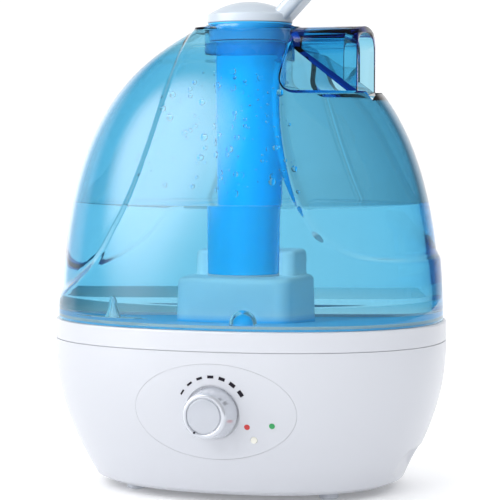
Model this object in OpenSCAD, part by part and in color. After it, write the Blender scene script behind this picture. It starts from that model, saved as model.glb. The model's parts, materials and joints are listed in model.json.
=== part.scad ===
// Cool mist humidifier: a white base that holds the ultrasonic works, and a clear blue lift-off water
// tank with a mist tube, a carrying handle and a swivelling nozzle. Millimetres, +Z up, front at -Y.
// Origin: on the table, under the middle of the body. The handle is at +X and the filler cap at -X.

/* [Body] */
// Half of the body's width at the top rim of the base
body_half_w = 110; // [108:0.5:112]
// Body depth as a share of its width
depth_ratio = 0.764; // [0.75:0.002:0.78]
// Roundness of the plan: 2 is an ellipse, more is squarer
plan_power = 2.24; // [2.1:0.02:2.4]
// Number of sides that the big shells are drawn with
sides = 60; // [40:4:80]

/* [Base] */
// Height of the underside above the table
underside_z = 4.4; // [4:0.1:5]
// Height of the base's top rim
rim_z = 93.4; // [92.8:0.1:94]
// Height of the joint between the lower housing and the rim band
seam_z = 82.4; // [81:0.1:83]
// Wall thickness of the white housings
base_wall = 2.6; // [2.4:0.1:2.8]
// Diameter of a foot
foot_d = 10.6; // [8:0.2:14]

/* [Control panel] */
// Sideways place of the knob and the oval panel
panel_x = 4; // [2:0.5:6]
// Height of the knob's axis
panel_z = 50.6; // [49:0.2:52]
// Half the width of the oval panel
panel_half_w = 44; // [40:0.5:45]
// Half the height of the oval panel
panel_half_h = 25.7; // [24.5:0.1:26.5]
// Radius of the knob at the panel
knob_r = 13.8; // [13:0.1:14.2]
// Length of the knob
knob_h = 15.4; // [13:0.2:17]
// Number of dashes on the mist scale
dash_count = 7; // [5:1:9]

/* [Tank] */
// Wall thickness of the blue tank
tank_wall = 2.2; // [2:0.1:2.4]
// How far the side lobes lie below the middle band
lobe_step = 2.3; // [1.8:0.1:2.6]
// Height of the tank's flat top
tank_top_z = 255; // [254.6:0.1:255.4]
// Height of the flat shoulder beside the handle
shoulder_z = 219; // [216:0.5:221]
// Where the handle leaves the tank's top
handle_x = 31; // [30.5:0.1:31.5]
// Where the open end of the handle is
handle_end_x = 66.6; // [65:0.2:68]
// Width of the handle
handle_w = 44.8; // [44:0.2:46]
// Outer radius of the mist tube at its foot
tube_r = 17.5; // [17.2:0.1:17.6]

/* [Nozzle] */
// Radius of the nozzle's white band
nozzle_r = 23.75; // [23.5:0.05:24]
// Tilt of the spout from level
spout_tilt = 46; // [44:1:48]

/* [Hidden] */
$fn = 64;

// Colours
white = "#eceef2";
knob_grey = "#d6dae0";
charcoal = "#34353c";
tank_blue = [0.25, 0.62, 0.88, 0.5];
azure = [0.0, 0.6, 0.95, 0.85];
board_green = "#2f6b3c";
rubber_grey = "#3c4046";
metal = "#b9bcc2";
brass = "#c8a24a";

// Clearances
snug = 0.1;     // between pieces that are fixed together
slip = 0.3;     // between bodies that move apart
run = 0.06;     // round a shaft that turns
mark_t = 0.25;  // thickness of a printed mark

// Outlines, each one curve through [half width, height] control points
base_curve = [[body_half_w - 23.2, underside_z + 2.1], [body_half_w + 4.8, 51.7],
    [body_half_w - 0.6, 80.6], [body_half_w, rim_z]];
tank_curve = [[body_half_w - 1.5, rim_z + 0.2], [body_half_w - 3.1, 212.8],
    [61.4, 237.5], [handle_x, tank_top_z]];
band_curve = [[29.5, tank_top_z], [28, 215], [40, 168], [57, 144]];  // edge of the raised middle band
band_end = [[[57, 144], [64, 130], [78, 114], [114, 103.5]],  // how the edge goes on at the left
            [[57, 144], [64, 138], [76, 130], [97, 130]]];    // and at the right

// Base works
seam_gap = 0.5;
cover_half_w = 80;
foot_at = [55, 35];
cover_screw_at = [72, 16];
grip_x = 90;
grip_z = 12.5;
panel_t = 1.2;
front_y = -80.4;        // where the back of the knob is
seat_y = front_y + 1.2; // flat seat on the housing behind the knob
shaft_r = 3;            // the knob's shaft, which starts at shaft_y
shaft_y = -69;
led_at = [panel_x + 21.3, panel_z - 14.3];
led_r = 1.8;
lens_h = 5.8;
dot_at = [[panel_x + 18.2, panel_z - 7.3], [panel_x + 31.2, panel_z - 6.5]];
dash_r = 19.4;
tray_z = 76;            // inside floor of the shallow water tray
tray_inset = 5.4;
well_y = -7;
well_r = 16;
well_z = 48;            // inside floor of the transducer well
sump_x = -66;           // middle of the filler cap and of the sump under it
sump_r = 29;
sump_z = 61;
riser = [26, 11, 108];  // outside width, depth and top of the air riser
riser_y = 17.5;
riser_wall = 1.4;
float_at = [14, -54];
float_travel = 6;
fan_at = [40, 14];
fan_side = 51;
fan_h = 15;
cover_top_z = underside_z + 2.5;
board_at = [-41, -2];
board_size = [50, 48, 1.6];
board_z = 16;
jack_at = [-30, 24];
jack_face_y = 73.4;
jack_r = 7;

// Tank works
floor_z = rim_z + 1.2;          // inside floor of the tank
edge_z = rim_z + 0.2;           // bottom edge of the blue shell
boss_front = [60, 54, 117];     // width, depth and top of the boss over the well
boss_rear = [51, 26, 130];
boss_wall = 2;
neck_r = 20.5;
neck_z = 80.4;
cap_r = 23.5;
cap_z = 76.5;
plunger_out = 0.8;              // how far the valve plunger stands out under the cap
tower_r = 13.5;                 // disc that guides the valve, level with the tank's floor
collar_r = 23;
lip_r = 19;
lip_z = 245;                    // ledge that the mist tube hangs on
collar_z = [236, tank_top_z + 1.4];
tube_top_r = 18.8;
tube_foot_z = boss_front[2] + 1;
nozzle_z = tank_top_z + 2.6;    // bottom of the nozzle's band
band_h = 5;
dome_h = 7;
spout = [20, 8.5, 1.5];         // width, thickness and wall of the spout
spout_top_z = 280;

// ---------- shared shapes ----------

function power(v, p) = sign(v) * pow(abs(v), p);

function bezier(c, t) = pow(1 - t, 3) * c[0] + 3 * pow(1 - t, 2) * t * c[1]
    + 3 * (1 - t) * t * t * c[2] + t * t * t * c[3];

function curve_points(curve, count) = [for (i = [0 : count]) bezier(curve, i / count)];

function plan_point(a, b, angle, z) =
    [a * power(cos(angle), 2 / plan_power), b * power(sin(angle), 2 / plan_power), z];

// A closed solid through rings of [half width, height] with the body's plan, pulled in by inset
module loft(rings, inset = 0) {
    last = len(rings) - 1;
    points = [for (r = rings) for (i = [0 : sides - 1])
        plan_point(r[0] - inset, r[0] * depth_ratio - inset, 360 * i / sides, r[1])];
    walls = [for (k = [0 : last - 1]) for (i = [0 : sides - 1])
        let (j = (i + 1) % sides, low = k * sides, high = low + sides)
        [low + i, high + i, high + j, low + j]];
    floor_face = [for (i = [0 : sides - 1]) i];
    roof_face = [for (i = [sides - 1 : -1 : 0]) last * sides + i];
    polyhedron(points, concat([floor_face], walls, [roof_face]));
}

module plan_plate(a, z0, z1, inset = 0) {
    loft([[a, z0], [a, z1]], inset);
}

module plan_ring(a, z0, z1, inset, thick) {
    difference() {
        plan_plate(a, z0, z1, inset);
        plan_plate(a, z0 - 1, z1 + 1, inset + thick);
    }
}

module between(z0, z1) {
    translate([-200, -200, z0]) cube([400, 400, z1 - z0]);
}

module ring_wall(r_out, r_in, z0, z1) {
    translate([0, 0, z0]) difference() {
        cylinder(r = r_out, h = z1 - z0);
        translate([0, 0, -1]) cylinder(r = r_in, h = z1 - z0 + 2);
    }
}

// A block centred on X and Y, with round upright corners
module round_block(w, d, h, r) {
    linear_extrude(h) {
        square([w - 2 * r, d], center = true);
        square([w, d - 2 * r], center = true);
        for (x = [-1, 1], y = [-1, 1]) translate([x * (w / 2 - r), y * (d / 2 - r)]) circle(r);
    }
}

// A slot with round ends, standing on z = 0
module slot(length, width, h) {
    linear_extrude(h) {
        square([length - width, width], center = true);
        for (s = [-1, 1]) translate([s * (length - width) / 2, 0]) circle(d = width);
    }
}

// Turns what stands on +Z to face the front, at a place [x, z]
module at_front(x, z, y = front_y) {
    translate([x, y, z]) rotate([90, 0, 0]) children();
}

// Turns a flat outline drawn in X and Z into a slab as thick as d, centred on Y
module slab(d) {
    translate([0, d / 2, 0]) rotate([90, 0, 0]) linear_extrude(d) children();
}

// A cross-head screw with its head on z = 0 and its shank pointing up
module screw(d, length) {
    head_h = d * 0.6;
    difference() {
        cylinder(d = d * 1.9, h = head_h, $fn = 32);
        for (a = [0, 90]) rotate(a)
            translate([-d * 0.55, -d * 0.12, -1]) cube([d * 1.1, d * 0.24, 1 + d * 0.3]);
    }
    translate([0, 0, head_h]) cylinder(d = d, h = length - head_h, $fn = 32);
}

// A round wire swept along points that all rise, so its rings can be turned by one angle each
module wire(points, r, ring_n = 8) {
    last = len(points) - 1;
    rings = [for (i = [0 : last])
        let (way = points[min(i + 1, last)] - points[max(i - 1, 0)],
            side = cross(way, abs(way[2]) > norm(way) * 0.99 ? [1, 0, 0] : [0, 0, 1]),
            u = side / norm(side), v = cross(u, way) / norm(way))
        for (k = [0 : ring_n - 1]) let (b = 360 * k / ring_n) points[i] + r * (cos(b) * u + sin(b) * v)];
    walls = [for (i = [0 : last - 1]) for (k = [0 : ring_n - 1]) let (m = (k + 1) % ring_n)
        [i * ring_n + k, i * ring_n + m, (i + 1) * ring_n + m, (i + 1) * ring_n + k]];
    polyhedron(rings, concat([[for (k = [ring_n - 1 : -1 : 0]) k]], walls,
        [[for (k = [0 : ring_n - 1]) last * ring_n + k]]));
}

// ---------- base: housings ----------

// Outer shape of the base between two heights, pulled in by inset
module base_form(z0, z1, inset = 0) {
    intersection() {
        loft(concat([[body_half_w - 28, underside_z]], curve_points(base_curve, 11)), inset);
        between(z0, z1);
    }
}

// Finger recesses low on both sides, to lift the base by
module grip_scoops(grow = 0) {
    for (side = [-1, 1]) hull() for (y = [-1, 1])
        translate([side * (grip_x + 8.5), y * 14, grip_z]) sphere(r = 12 + grow, $fn = 32);
}

module air_slots() {
    for (row = [0 : 3], side = [-1, 1])
        translate([side * 22 + 26, 50, 40 + row * 6]) rotate([-90, 0, 0]) slot(36, 2.2, 60);
}

// The oval of the panel, run through the front wall
module panel_oval(grow = 0) {
    at_front(panel_x, panel_z, -40) linear_extrude(60)
        polygon([for (a = [0 : 4 : 356]) [(panel_half_w + grow) * cos(a), (panel_half_h + grow) * sin(a)]]);
}

module front_holes() {
    at_front(panel_x, panel_z, -50) cylinder(r = 5, h = 60);
    at_front(led_at[0], led_at[1], -50) cylinder(r = led_r + snug, h = 60);
}

module lower_housing() color(white) difference() {
    union() {
        difference() {
            base_form(underside_z, seam_z);
            difference() {
                base_form(underside_z + base_wall, seam_z + 1, base_wall);
                grip_scoops(base_wall);
                at_front(panel_x, panel_z, seat_y + 3) cylinder(r = knob_r + 3, h = 10);
            }
        }
        at_front(panel_x, panel_z, seat_y + 3) cylinder(r = knob_r + 0.8, h = 3);
    }
    plan_plate(cover_half_w, underside_z - 1, underside_z + 4);
    difference() {
        panel_oval(slip);
        base_form(underside_z, seam_z, panel_t);
        at_front(panel_x, panel_z, seat_y + 5) cylinder(r = knob_r + 0.8, h = 30);
    }
    at_front(panel_x, panel_z, seat_y) cylinder(r = knob_r + 0.9, h = 30);
    front_holes();
    translate([jack_at[0], 50, jack_at[1]]) rotate([-90, 0, 0]) cylinder(r = jack_r + snug, h = 60);
    air_slots();
    grip_scoops();
}

module upper_housing() color(white) difference() {
    union() {
        base_form(seam_z + seam_gap, rim_z);
        plan_plate(body_half_w - 0.2, tray_z - base_wall, rim_z, 3.4);
        translate([0, riser_y, tray_z]) round_block(riser[0], riser[1], riser[2] - tray_z, 3);
        translate([0, well_y, well_z - base_wall]) cylinder(r = well_r + base_wall, h = tray_z - well_z);
        translate([sump_x, 0, sump_z - base_wall]) cylinder(r = sump_r + base_wall, h = tray_z - sump_z);
        for (x = [-1, 1], y = [-1, 1])
            translate([x * cover_screw_at[0], y * cover_screw_at[1], cover_top_z])
                cylinder(r = 4, h = (x < 0 ? sump_z : tray_z) - base_wall - cover_top_z + 1);
    }
    difference() {
        plan_plate(body_half_w - 0.2, tray_z, rim_z + 1, tray_inset);
        translate([0, riser_y, tray_z - 1]) round_block(riser[0], riser[1], riser[2], 3);
    }
    translate([0, well_y, well_z]) cylinder(r = well_r, h = 40);
    translate([0, well_y, well_z - 5]) cylinder(r = 8.5, h = 10);
    for (a = [90, 210, 330]) translate([0, well_y, well_z - base_wall - 1]) rotate(a)
        translate([13.9, 0, 0]) cylinder(r = 1, h = 3);
    translate([sump_x, 0, sump_z]) cylinder(r = sump_r, h = 40);
    translate([0, riser_y, tray_z - 10])
        round_block(riser[0] - 2 * riser_wall, riser[1] - 2 * riser_wall, 60, 2);
    cover_screw_places() cylinder(r = 1.5, h = cover_top_z + 14);
}

module housing_seal() color(rubber_grey)
    plan_ring(body_half_w - 0.3, seam_z, seam_z + seam_gap, 0.8, 1.6);

module cover_screw_places() {
    for (x = [-1, 1], y = [-1, 1])
        translate([x * cover_screw_at[0], y * cover_screw_at[1], 0]) children();
}

module bottom_cover() color(white) {
    difference() {
        union() {
            plan_plate(cover_half_w - snug, underside_z, cover_top_z);
            board_holes() cylinder(r = 3, h = board_z - cover_top_z + 0.5);
        }
        translate([fan_at[0], fan_at[1], 0]) cylinder(r = 18, h = 20);
        board_holes() translate([0, 0, 1]) cylinder(r = 1.2, h = 20);
        fan_corners() translate([0, 0, underside_z - 1]) cylinder(r = 1.2, h = 9);
        cover_screw_places() {
            translate([0, 0, underside_z - 1]) cylinder(r = 3.1, h = 2.9);
            cylinder(r = 1.6, h = 20);
        }
    }
}

// Places of the driver board's four screws, on top of the cover
module board_holes() {
    for (x = [-1, 1], y = [-1, 1])
        translate([board_at[0] + x * 21.5, board_at[1] + y * 20.5, cover_top_z - 0.5]) children();
}

module fan_corners() {
    for (x = [-1, 1], y = [-1, 1]) translate([fan_at[0] + x * 21.5, fan_at[1] + y * 21.5, 0]) children();
}

module intake_grille() color(white) at_fan(underside_z + 0.2) linear_extrude(1.8) {
    for (r = [17.9, 13.5, 9.1]) difference() {
        circle(r);
        circle(r - 1.6);
    }
    circle(5.2);
    for (a = [30 : 60 : 330]) rotate(a) translate([4.5, -0.8]) square([12.6, 1.6]);
}

// A rubber foot with a round lower edge, bonded to the cover
module foot(x, y) {
    r = foot_d / 2;
    color(rubber_grey) translate([x * foot_at[0], y * foot_at[1], 0])
        rotate_extrude() polygon([[0, 0], [r - 0.9, 0], [r - 0.3, 0.3], [r, 0.9], [r, underside_z - 0.02],
            [0, underside_z - 0.02]]);
}
module foot_front_left() foot(-1, -1);
module foot_front_right() foot(1, -1);
module foot_rear_left() foot(-1, 1);
module foot_rear_right() foot(1, 1);

module cover_screws() color(metal) cover_screw_places() translate([0, 0, underside_z + 0.1]) screw(3, 13);

// ---------- base: control panel ----------

module control_panel() color(white) {
    difference() {
        intersection() {
            difference() {
                base_form(20, 80);
                base_form(10, 90, panel_t - snug);
            }
            panel_oval();
        }
        at_front(panel_x, panel_z, -60) cylinder(r = knob_r + 0.9, h = 60);
        front_holes();
    }
}

module on_panel_skin() intersection() {
    difference() {
        base_form(20, 80, -mark_t);
        base_form(10, 90);
    }
    children();
}

// Dashes that grow thicker clockwise round the knob
module scale_dashes() color(charcoal) on_panel_skin()
    for (i = [0 : dash_count - 1]) let (step = i / (dash_count - 1))
        translate([panel_x, -60, panel_z]) rotate([90, 0, 0]) rotate(147 - 113 * step)
            translate([dash_r, 0, 0]) linear_extrude(60) square([1 + 2 * step, 3.4 + step], center = true);

module indicator_dot(at) on_panel_skin() at_front(at[0], at[1], -50) cylinder(r = 1.5, h = 60, $fn = 32);
module indicator_dot_red() color("crimson") indicator_dot(dot_at[0]);
module indicator_dot_green() color("seagreen") indicator_dot(dot_at[1]);

module led_lens() color("ivory") at_front(led_at[0], led_at[1], -71) {
    intersection() {
        cylinder(r = led_r, h = 12);
        translate([0, 0, lens_h - 4]) sphere(r = 4);
    }
    cylinder(r = led_r, h = lens_h - 4);
    cylinder(r = led_r + 0.8, h = 1.5);
}

module indicator_led() color("gold") at_front(led_at[0], led_at[1], -62.2) {
    cylinder(r = 1.5, h = 7);
    translate([0, 0, 7]) sphere(r = 1.5);
    cylinder(r = 1.9, h = 1);
}

module control_board() color(board_green) difference() {
    translate([panel_x - 16, -62.1, panel_z - 20]) cube([44, 1.6, 30]);
    for (x = [-13, 25]) at_front(panel_x + x, panel_z + 7, -50) cylinder(r = 1.3, h = 20);
}

module potentiometer() color(metal) difference() {
    union() {
        at_front(panel_x, panel_z, -62.2) cylinder(r = 8.5, h = 8);
        at_front(panel_x, panel_z, -70) cylinder(r = 4.4, h = 12.5);
    }
    at_front(panel_x, panel_z, -68) cylinder(r = 3 + run, h = 30);
}

module potentiometer_nut() color(brass) at_front(panel_x, panel_z, seat_y) difference() {
    cylinder(r = 6.2, h = 2, $fn = 6);
    translate([0, 0, -1]) cylinder(r = 4.5, h = 4);
}

// ---------- knob ----------

// Turns a profile of [radius, distance in front of the seat] about the knob's axis
module knob_turned(profile) at_front(panel_x, panel_z) rotate_extrude($fn = 96) polygon(profile);

module knob() color(knob_grey) {
    knob_turned([[shaft_r + 0.02, 4.2], [11.4, 4.2], [12, 0.4], [knob_r, 0.4], [knob_r, 1.6],
        [knob_r - 1.9, knob_h - 1.6], [knob_r - 2.3, knob_h - 0.5], [knob_r - 3.1, knob_h],
        [9.2, knob_h], [8.9, knob_h - 0.9], [shaft_r + 0.02, knob_h - 0.9]]);
}

module knob_face() color("#cfd4db")
    knob_turned([[0, knob_h - 0.9], [8.7, knob_h - 0.9], [8.7, knob_h - 0.3], [8.2, knob_h],
        [0, knob_h + 0.15]]);

// Mark on the knob's front ring: straight down to the left is off
module knob_pointer() color(charcoal) at_front(panel_x, panel_z, front_y - knob_h)
    rotate(240) translate([9.4, -0.5, 0]) cube([1.2, 1, 0.2]);

module knob_shaft() color(metal)
    at_front(panel_x, panel_z, shaft_y) cylinder(r = shaft_r, h = knob_h + shaft_y - front_y - 0.9);

// ---------- base: electronics ----------

module driver_board() color(board_green) difference() {
    translate([board_at[0] - board_size[0] / 2, board_at[1] - board_size[1] / 2, board_z]) cube(board_size);
    board_holes() cylinder(r = 1.7, h = 20);
}

module board_screws() color(metal) board_holes()
    translate([0, 0, board_z + board_size[2] - cover_top_z + 0.5 + 1.44]) mirror([0, 0, 1]) screw(2.4, 8);

module on_board(x, y) {
    translate([board_at[0] + x, board_at[1] + y, board_z + board_size[2]]) children();
}

module heat_sink() color("silver") on_board(-12, 8) {
    translate([-12, -9, 0]) cube([24, 3, 22]);
    for (i = [0 : 5]) translate([-12 + i * 4.52, -6.1, 0]) cube([1.4, 12, 22]);
}

module power_transistor() color(charcoal) on_board(-12, -4) {
    difference() {
        translate([-5, 0, 3]) cube([10, 3, 15]);
        translate([0, 4, 15]) rotate([90, 0, 0]) cylinder(r = 1.6, h = 6);
    }
    for (x = [-2.5, 0, 2.5]) translate([x - 0.4, 1.2, 0]) cube([0.8, 0.6, 3]);
}

module capacitors() color("navy") {
    for (c = [[15, 13, 5, 16], [5.5, 16, 3.2, 11], [19, -12, 3.2, 11], [12, -19, 2.5, 8]])
        on_board(c[0], c[1]) cylinder(r = c[2], h = c[3]);
}

// A copper winding round a core that lies flat on the board
module inductor() color("#b87333") on_board(6, -8) rotate_extrude() translate([6, 3]) circle(r = 2.8);

// Two wires that rise from the board in an easy bend to the disc
module transducer_wires() color("firebrick") for (s = [-1, 1]) {
    foot = [board_at[0] + 20, s * 3 - 2, board_z + board_size[2]];
    top = [s * 3, well_y + s * 2, well_z - 4.5];
    wire([for (i = [0 : 12]) let (t = i / 12, bend = (1 - cos(180 * t)) / 2)
        [foot[0] + (top[0] - foot[0]) * bend, foot[1] + (top[1] - foot[1]) * bend,
            foot[2] + (top[2] - foot[2]) * t]], 0.7);
}

module reed_switch() color("palegreen")
    translate([float_at[0] - 7, float_at[1], tray_z - base_wall - 1.7])
        rotate([0, 90, 0]) cylinder(r = 1.5, h = 14);

module dc_jack() color(charcoal) difference() {
    translate([jack_at[0], 56, jack_at[1]]) rotate([-90, 0, 0]) cylinder(r = jack_r, h = jack_face_y - 56);
    translate([jack_at[0], jack_face_y - 3, jack_at[1]]) rotate([-90, 0, 0]) cylinder(r = 5.2, h = 10);
    translate([jack_at[0], jack_face_y - 12, jack_at[1]]) rotate([-90, 0, 0]) cylinder(r = 2.8, h = 20);
}

module jack_pin() color(metal)
    translate([jack_at[0], jack_face_y - 12, jack_at[1]]) rotate([-90, 0, 0]) cylinder(r = 1, h = 8);

// ---------- base: mist maker ----------

module at_well(z) {
    translate([0, well_y, z]) children();
}

module transducer_disc() color(brass) at_well(well_z - 4.4) cylinder(r = 10, h = 0.8);

module transducer_seal() color(rubber_grey) at_well(0) difference() {
    ring_wall(12, 8, well_z - 5.6, well_z - base_wall);
    translate([0, 0, well_z - 4.4]) cylinder(r = 10, h = 0.8);
}

module transducer_clamp() color(metal) at_well(0) difference() {
    ring_wall(15.6, 8.5, well_z - 7.2, well_z - 5.6);
    clamp_screw_places() cylinder(r = 1.2, h = 60);
}

module clamp_screw_places() {
    for (a = [90, 210, 330]) rotate(a) translate([13.9, 0, 0]) children();
}

module clamp_screws() color(metal) at_well(well_z - 8.4) clamp_screw_places() screw(2, 7.2);

// ---------- base: fan ----------

module at_fan(z) {
    translate([fan_at[0], fan_at[1], z]) children();
}

module fan_housing() color(charcoal) difference() {
    at_fan(cover_top_z) round_block(fan_side, fan_side, fan_h, 5);
    at_fan(cover_top_z + 1.2) cylinder(r = 21.5, h = fan_h - 2.4);
    at_fan(cover_top_z - 1) cylinder(r = 17, h = 4);
    fan_outlet(14, 2);
    fan_corners() cylinder(r = 1.7, h = 40);
}

// The way from the rotor to the duct: reach into the fan and out past its side
module fan_outlet(inside, outside) {
    translate([fan_at[0] - fan_side / 2 - outside, riser_y - riser[1] / 2 + riser_wall, cover_top_z + 2.6])
        cube([inside + outside, riser[1] - 2 * riser_wall, fan_h - 5.2]);
}

module fan_motor() color(metal) {
    at_fan(cover_top_z + fan_h - 4.2) cylinder(r = 9, h = 3);
    difference() {
        at_fan(cover_top_z + 4) cylinder(r = 7, h = fan_h - 8.2);
        at_fan(cover_top_z) cylinder(r = 1 + run, h = fan_h - 4.5);
    }
}

// Rotor cup on a shaft, with straight blades
module fan_impeller() color("#4a4e55") at_fan(cover_top_z + 2.2) {
    difference() {
        linear_extrude(8.2) {
            circle(r = 10);
            for (a = [0 : 24 : 336]) rotate(a) translate([9, -0.5]) square([11.2, 1]);
        }
        translate([0, 0, 1.4]) cylinder(r = 8.6, h = 10);
    }
    translate([0, 0, 0.7]) cylinder(r = 1, h = 7.3);
}

module fan_screws() color(metal) fan_corners()
    translate([0, 0, cover_top_z + fan_h + 1.44]) mirror([0, 0, 1]) screw(2.4, 18.5);

module air_duct() color(white) difference() {
    union() {
        translate([0, riser_y, cover_top_z + 1])
            round_block(riser[0], riser[1], tray_z - base_wall - cover_top_z - 1.1, 3);
        translate([riser[0] / 2 - 4, riser_y - riser[1] / 2 + 0.2, cover_top_z + 1.4])
            cube([fan_at[0] - fan_side / 2 - riser[0] / 2 + 3.9, riser[1] - 0.4, fan_h - 2.8]);
    }
    translate([0, riser_y, cover_top_z + 2.4])
        round_block(riser[0] - 2 * riser_wall, riser[1] - 2 * riser_wall, 100, 2);
    fan_outlet(0, 4);
}

// ---------- base: float and valve pin ----------

module at_float(z) {
    translate([float_at[0], float_at[1], z]) children();
}

module float_post() color(white) {
    at_float(tray_z) cylinder(r = 2.4, h = 20);
    at_float(tray_z) cylinder(r = 4, h = 0.4);
}

module float_ring() color("#f4f4f2") at_float(0) difference() {
    ring_wall(9, 2.7, tray_z + 0.7, tray_z + 7.7);
    ring_wall(5.6, 1, tray_z, tray_z + 2.9);
}

module float_magnet() color(charcoal) at_float(0) ring_wall(5.5, 2.8, tray_z + 0.7, tray_z + 2.8);

module valve_pin() color(white) translate([sump_x, 0, sump_z]) {
    cylinder(r = 2.2, h = cap_z - plunger_out - 0.3 - sump_z);
    cylinder(r = 5, h = 2);
    for (a = [0 : 60 : 120]) rotate(a) translate([-5, -0.6, 0]) cube([10, 1.2, 8]);
}

// ---------- tank ----------

// The whole tank without its handle, pulled in by inset
module tank_form(z0, z1, inset = 0) {
    intersection() {
        loft(curve_points(tank_curve, 20), inset);
        between(z0, z1);
    }
}

// Outline in X and Z of the raised middle band and skirt, seen from the front
module band_outline(grow = 0) {
    for (side = [0, 1]) mirror([side, 0])
        offset(delta = grow) polygon(concat([[-10, 80], [130, 80], [130, band_end[1 - side][3][1]]],
            [for (i = [7 : -1 : 1]) bezier(band_end[1 - side], i / 7)],
            [for (i = [11 : -1 : 0]) bezier(band_curve, i / 11)], [[29.5, 270], [-10, 270]]));
}

// Outline in X and Z of what is cut away beside the handle
module shoulder_outline(grow = 0) {
    x = handle_x - grow;
    z = shoulder_z - grow;
    r = 8 + grow;
    difference() {
        translate([x, z]) square([90, 60]);
        difference() {
            translate([x - 1, z - 1]) square(r + 1);
            translate([x + r, z + r]) circle(r);
        }
    }
}

// Outline in Y and Z of the handle, with a crowned top and round top edges
module handle_outline(inset = 0) {
    half = handle_w / 2 - inset;
    edge = 9 - inset;
    top = tank_top_z - 1.8 - inset;
    crown_r = 62;
    intersection() {
        union() {
            translate([-half, shoulder_z - 5]) square([2 * half, top - edge - shoulder_z + 5]);
            translate([edge - half, shoulder_z]) square([2 * (half - edge), 50]);
            for (s = [-1, 1]) translate([s * (half - edge), top - edge]) circle(edge);
        }
        translate([0, tank_top_z - inset - crown_r]) circle(crown_r, $fn = 160);
    }
}

// Runs an outline of Y and Z along X
module along_x(x0, x1) {
    translate([x0, 0, 0]) rotate([90, 0, 90]) linear_extrude(x1 - x0) children();
}

// Everything above the sloping floor of the finger pocket, or below it
module above_slope(lift = 0) {
    slab(100) polygon([[handle_x - 8, 251 + lift], [handle_x, 245 + lift],
        [handle_end_x, shoulder_z + 0.2 + lift], [handle_end_x + 20, shoulder_z - 14 + lift],
        [handle_end_x + 20, 300], [handle_x - 8, 300]]);
}

module tank_cavity() {
    difference() {
        union() {
            tank_form(edge_z - 1, 243, tank_wall + lobe_step);
            intersection() {
                tank_form(edge_z - 1, tank_top_z - tank_wall, tank_wall);
                slab(200) band_outline(-tank_wall);
            }
        }
        slab(200) shoulder_outline(tank_wall);
    }
    // the wedge of water space under the finger pocket
    difference() {
        along_x(handle_x - 6, handle_end_x - 1) handle_outline(tank_wall);
        above_slope(-2.6);
        between(0, shoulder_z - tank_wall - 0.5);
    }
}

module tank_shell() color(tank_blue) difference() {
    union() {
        difference() {
            union() {
                tank_form(edge_z, 247, lobe_step);
                intersection() {
                    tank_form(edge_z, tank_top_z);
                    slab(200) band_outline();
                }
            }
            slab(200) shoulder_outline();
        }
        difference() {
            along_x(handle_x - 3, handle_end_x) handle_outline();
            between(0, shoulder_z - 1);
        }
    }
    tank_cavity();
    intersection() {
        along_x(handle_x + tank_wall, handle_end_x + 5) handle_outline(tank_wall);
        above_slope();
    }
    translate([0, 0, 200]) cylinder(r = collar_r + tank_wall, h = 60);
}

// The ring welded into the top of the tank, with a ledge for the mist tube and a raised rim
module tank_collar() color(tank_blue) {
    ring_wall(collar_r + tank_wall, lip_r, collar_z[0], lip_z);
    ring_wall(collar_r + tank_wall, collar_r, lip_z, tank_top_z - 1);
    ring_wall(collar_r + 2, collar_r, tank_top_z - 1, collar_z[1]);
}

module tank_bottom() color(white) difference() {
    union() {
        plan_plate(body_half_w - 1.5, edge_z, floor_z, tank_wall + slip);
        plan_plate(body_half_w - 0.2, rim_z - 3, edge_z, tray_inset + slip);
        round_block_between(boss_front, 0, rim_z - 3, 8, 0);
        intersection() {
            round_block_between(boss_rear, boss_rear[1] / 2, rim_z, 6, 0);
            union() {
                between(rim_z, boss_front[2]);
                difference() {
                    between(boss_front[2] - 1, 200);
                    cylinder(r = tube_r + slip, h = 300);
                }
            }
        }
        translate([sump_x, 0, neck_z]) cylinder(r = neck_r, h = floor_z - neck_z);
    }
    difference() {
        plan_plate(body_half_w - 0.2, rim_z - 4, rim_z - 1.2, tray_inset + slip + 2.4);
        translate([sump_x, 0, 0]) cylinder(r = neck_r, h = 200);
    }
    round_block_between(boss_front, 0, 80, 6, boss_wall);
    difference() {
        round_block_between(boss_rear, boss_rear[1] / 2, 80, 4, boss_wall);
        cylinder(r = tube_r + slip + boss_wall, h = 300);
    }
    cylinder(r = 15.4, h = 300);
    translate([sump_x, 0, 0]) cylinder(r = neck_r - 3, h = 200);
    at_float(rim_z - 4) cylinder(r = 6.3, h = 10);
}

// An upright block [width, depth, top] with its middle at y, from z0 up, pulled in by inset
module round_block_between(block, y, z0, r, inset) {
    translate([0, y, z0]) round_block(block[0] - 2 * inset, block[1] - 2 * inset, block[2] - inset - z0, r);
}

module tank_gasket() color(rubber_grey)
    plan_ring(body_half_w - 1.5, floor_z, floor_z + 1.4, tank_wall + slip, 2);

module mist_tube() color(azure) rotate_extrude($fn = 96) polygon([[tube_r - 1.8, tube_foot_z],
    [tube_r, tube_foot_z], [tube_top_r, collar_z[0]], [tube_top_r, lip_z + snug],
    [collar_r - 0.4, lip_z + snug], [collar_r - 0.4, lip_z + 1.4], [tube_top_r - 1.8, lip_z + 1.4]]);

module tube_seal() color(rubber_grey) ring_wall(tube_r, tube_r - 1.8, boss_front[2], tube_foot_z);

module float_dome() color(azure) at_float(rim_z - 2) rotate_extrude() difference() {
    union() {
        square([6.2, 4.4]);
        intersection() {
            translate([0, 4.4]) circle(r = 7);
            translate([0, 3.2]) square([10, 20]);
        }
    }
    translate([-10, -1]) square([14.6, 5.4]);
    intersection() {
        translate([0, 4.4]) circle(r = 5.4);
        translate([-10, 4.3]) square([20, 20]);
    }
    translate([-20, -5]) square([20, 30]);
}

// ---------- filler cap and valve ----------

module at_cap(z) {
    translate([sump_x, 0, z]) children();
}

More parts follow.
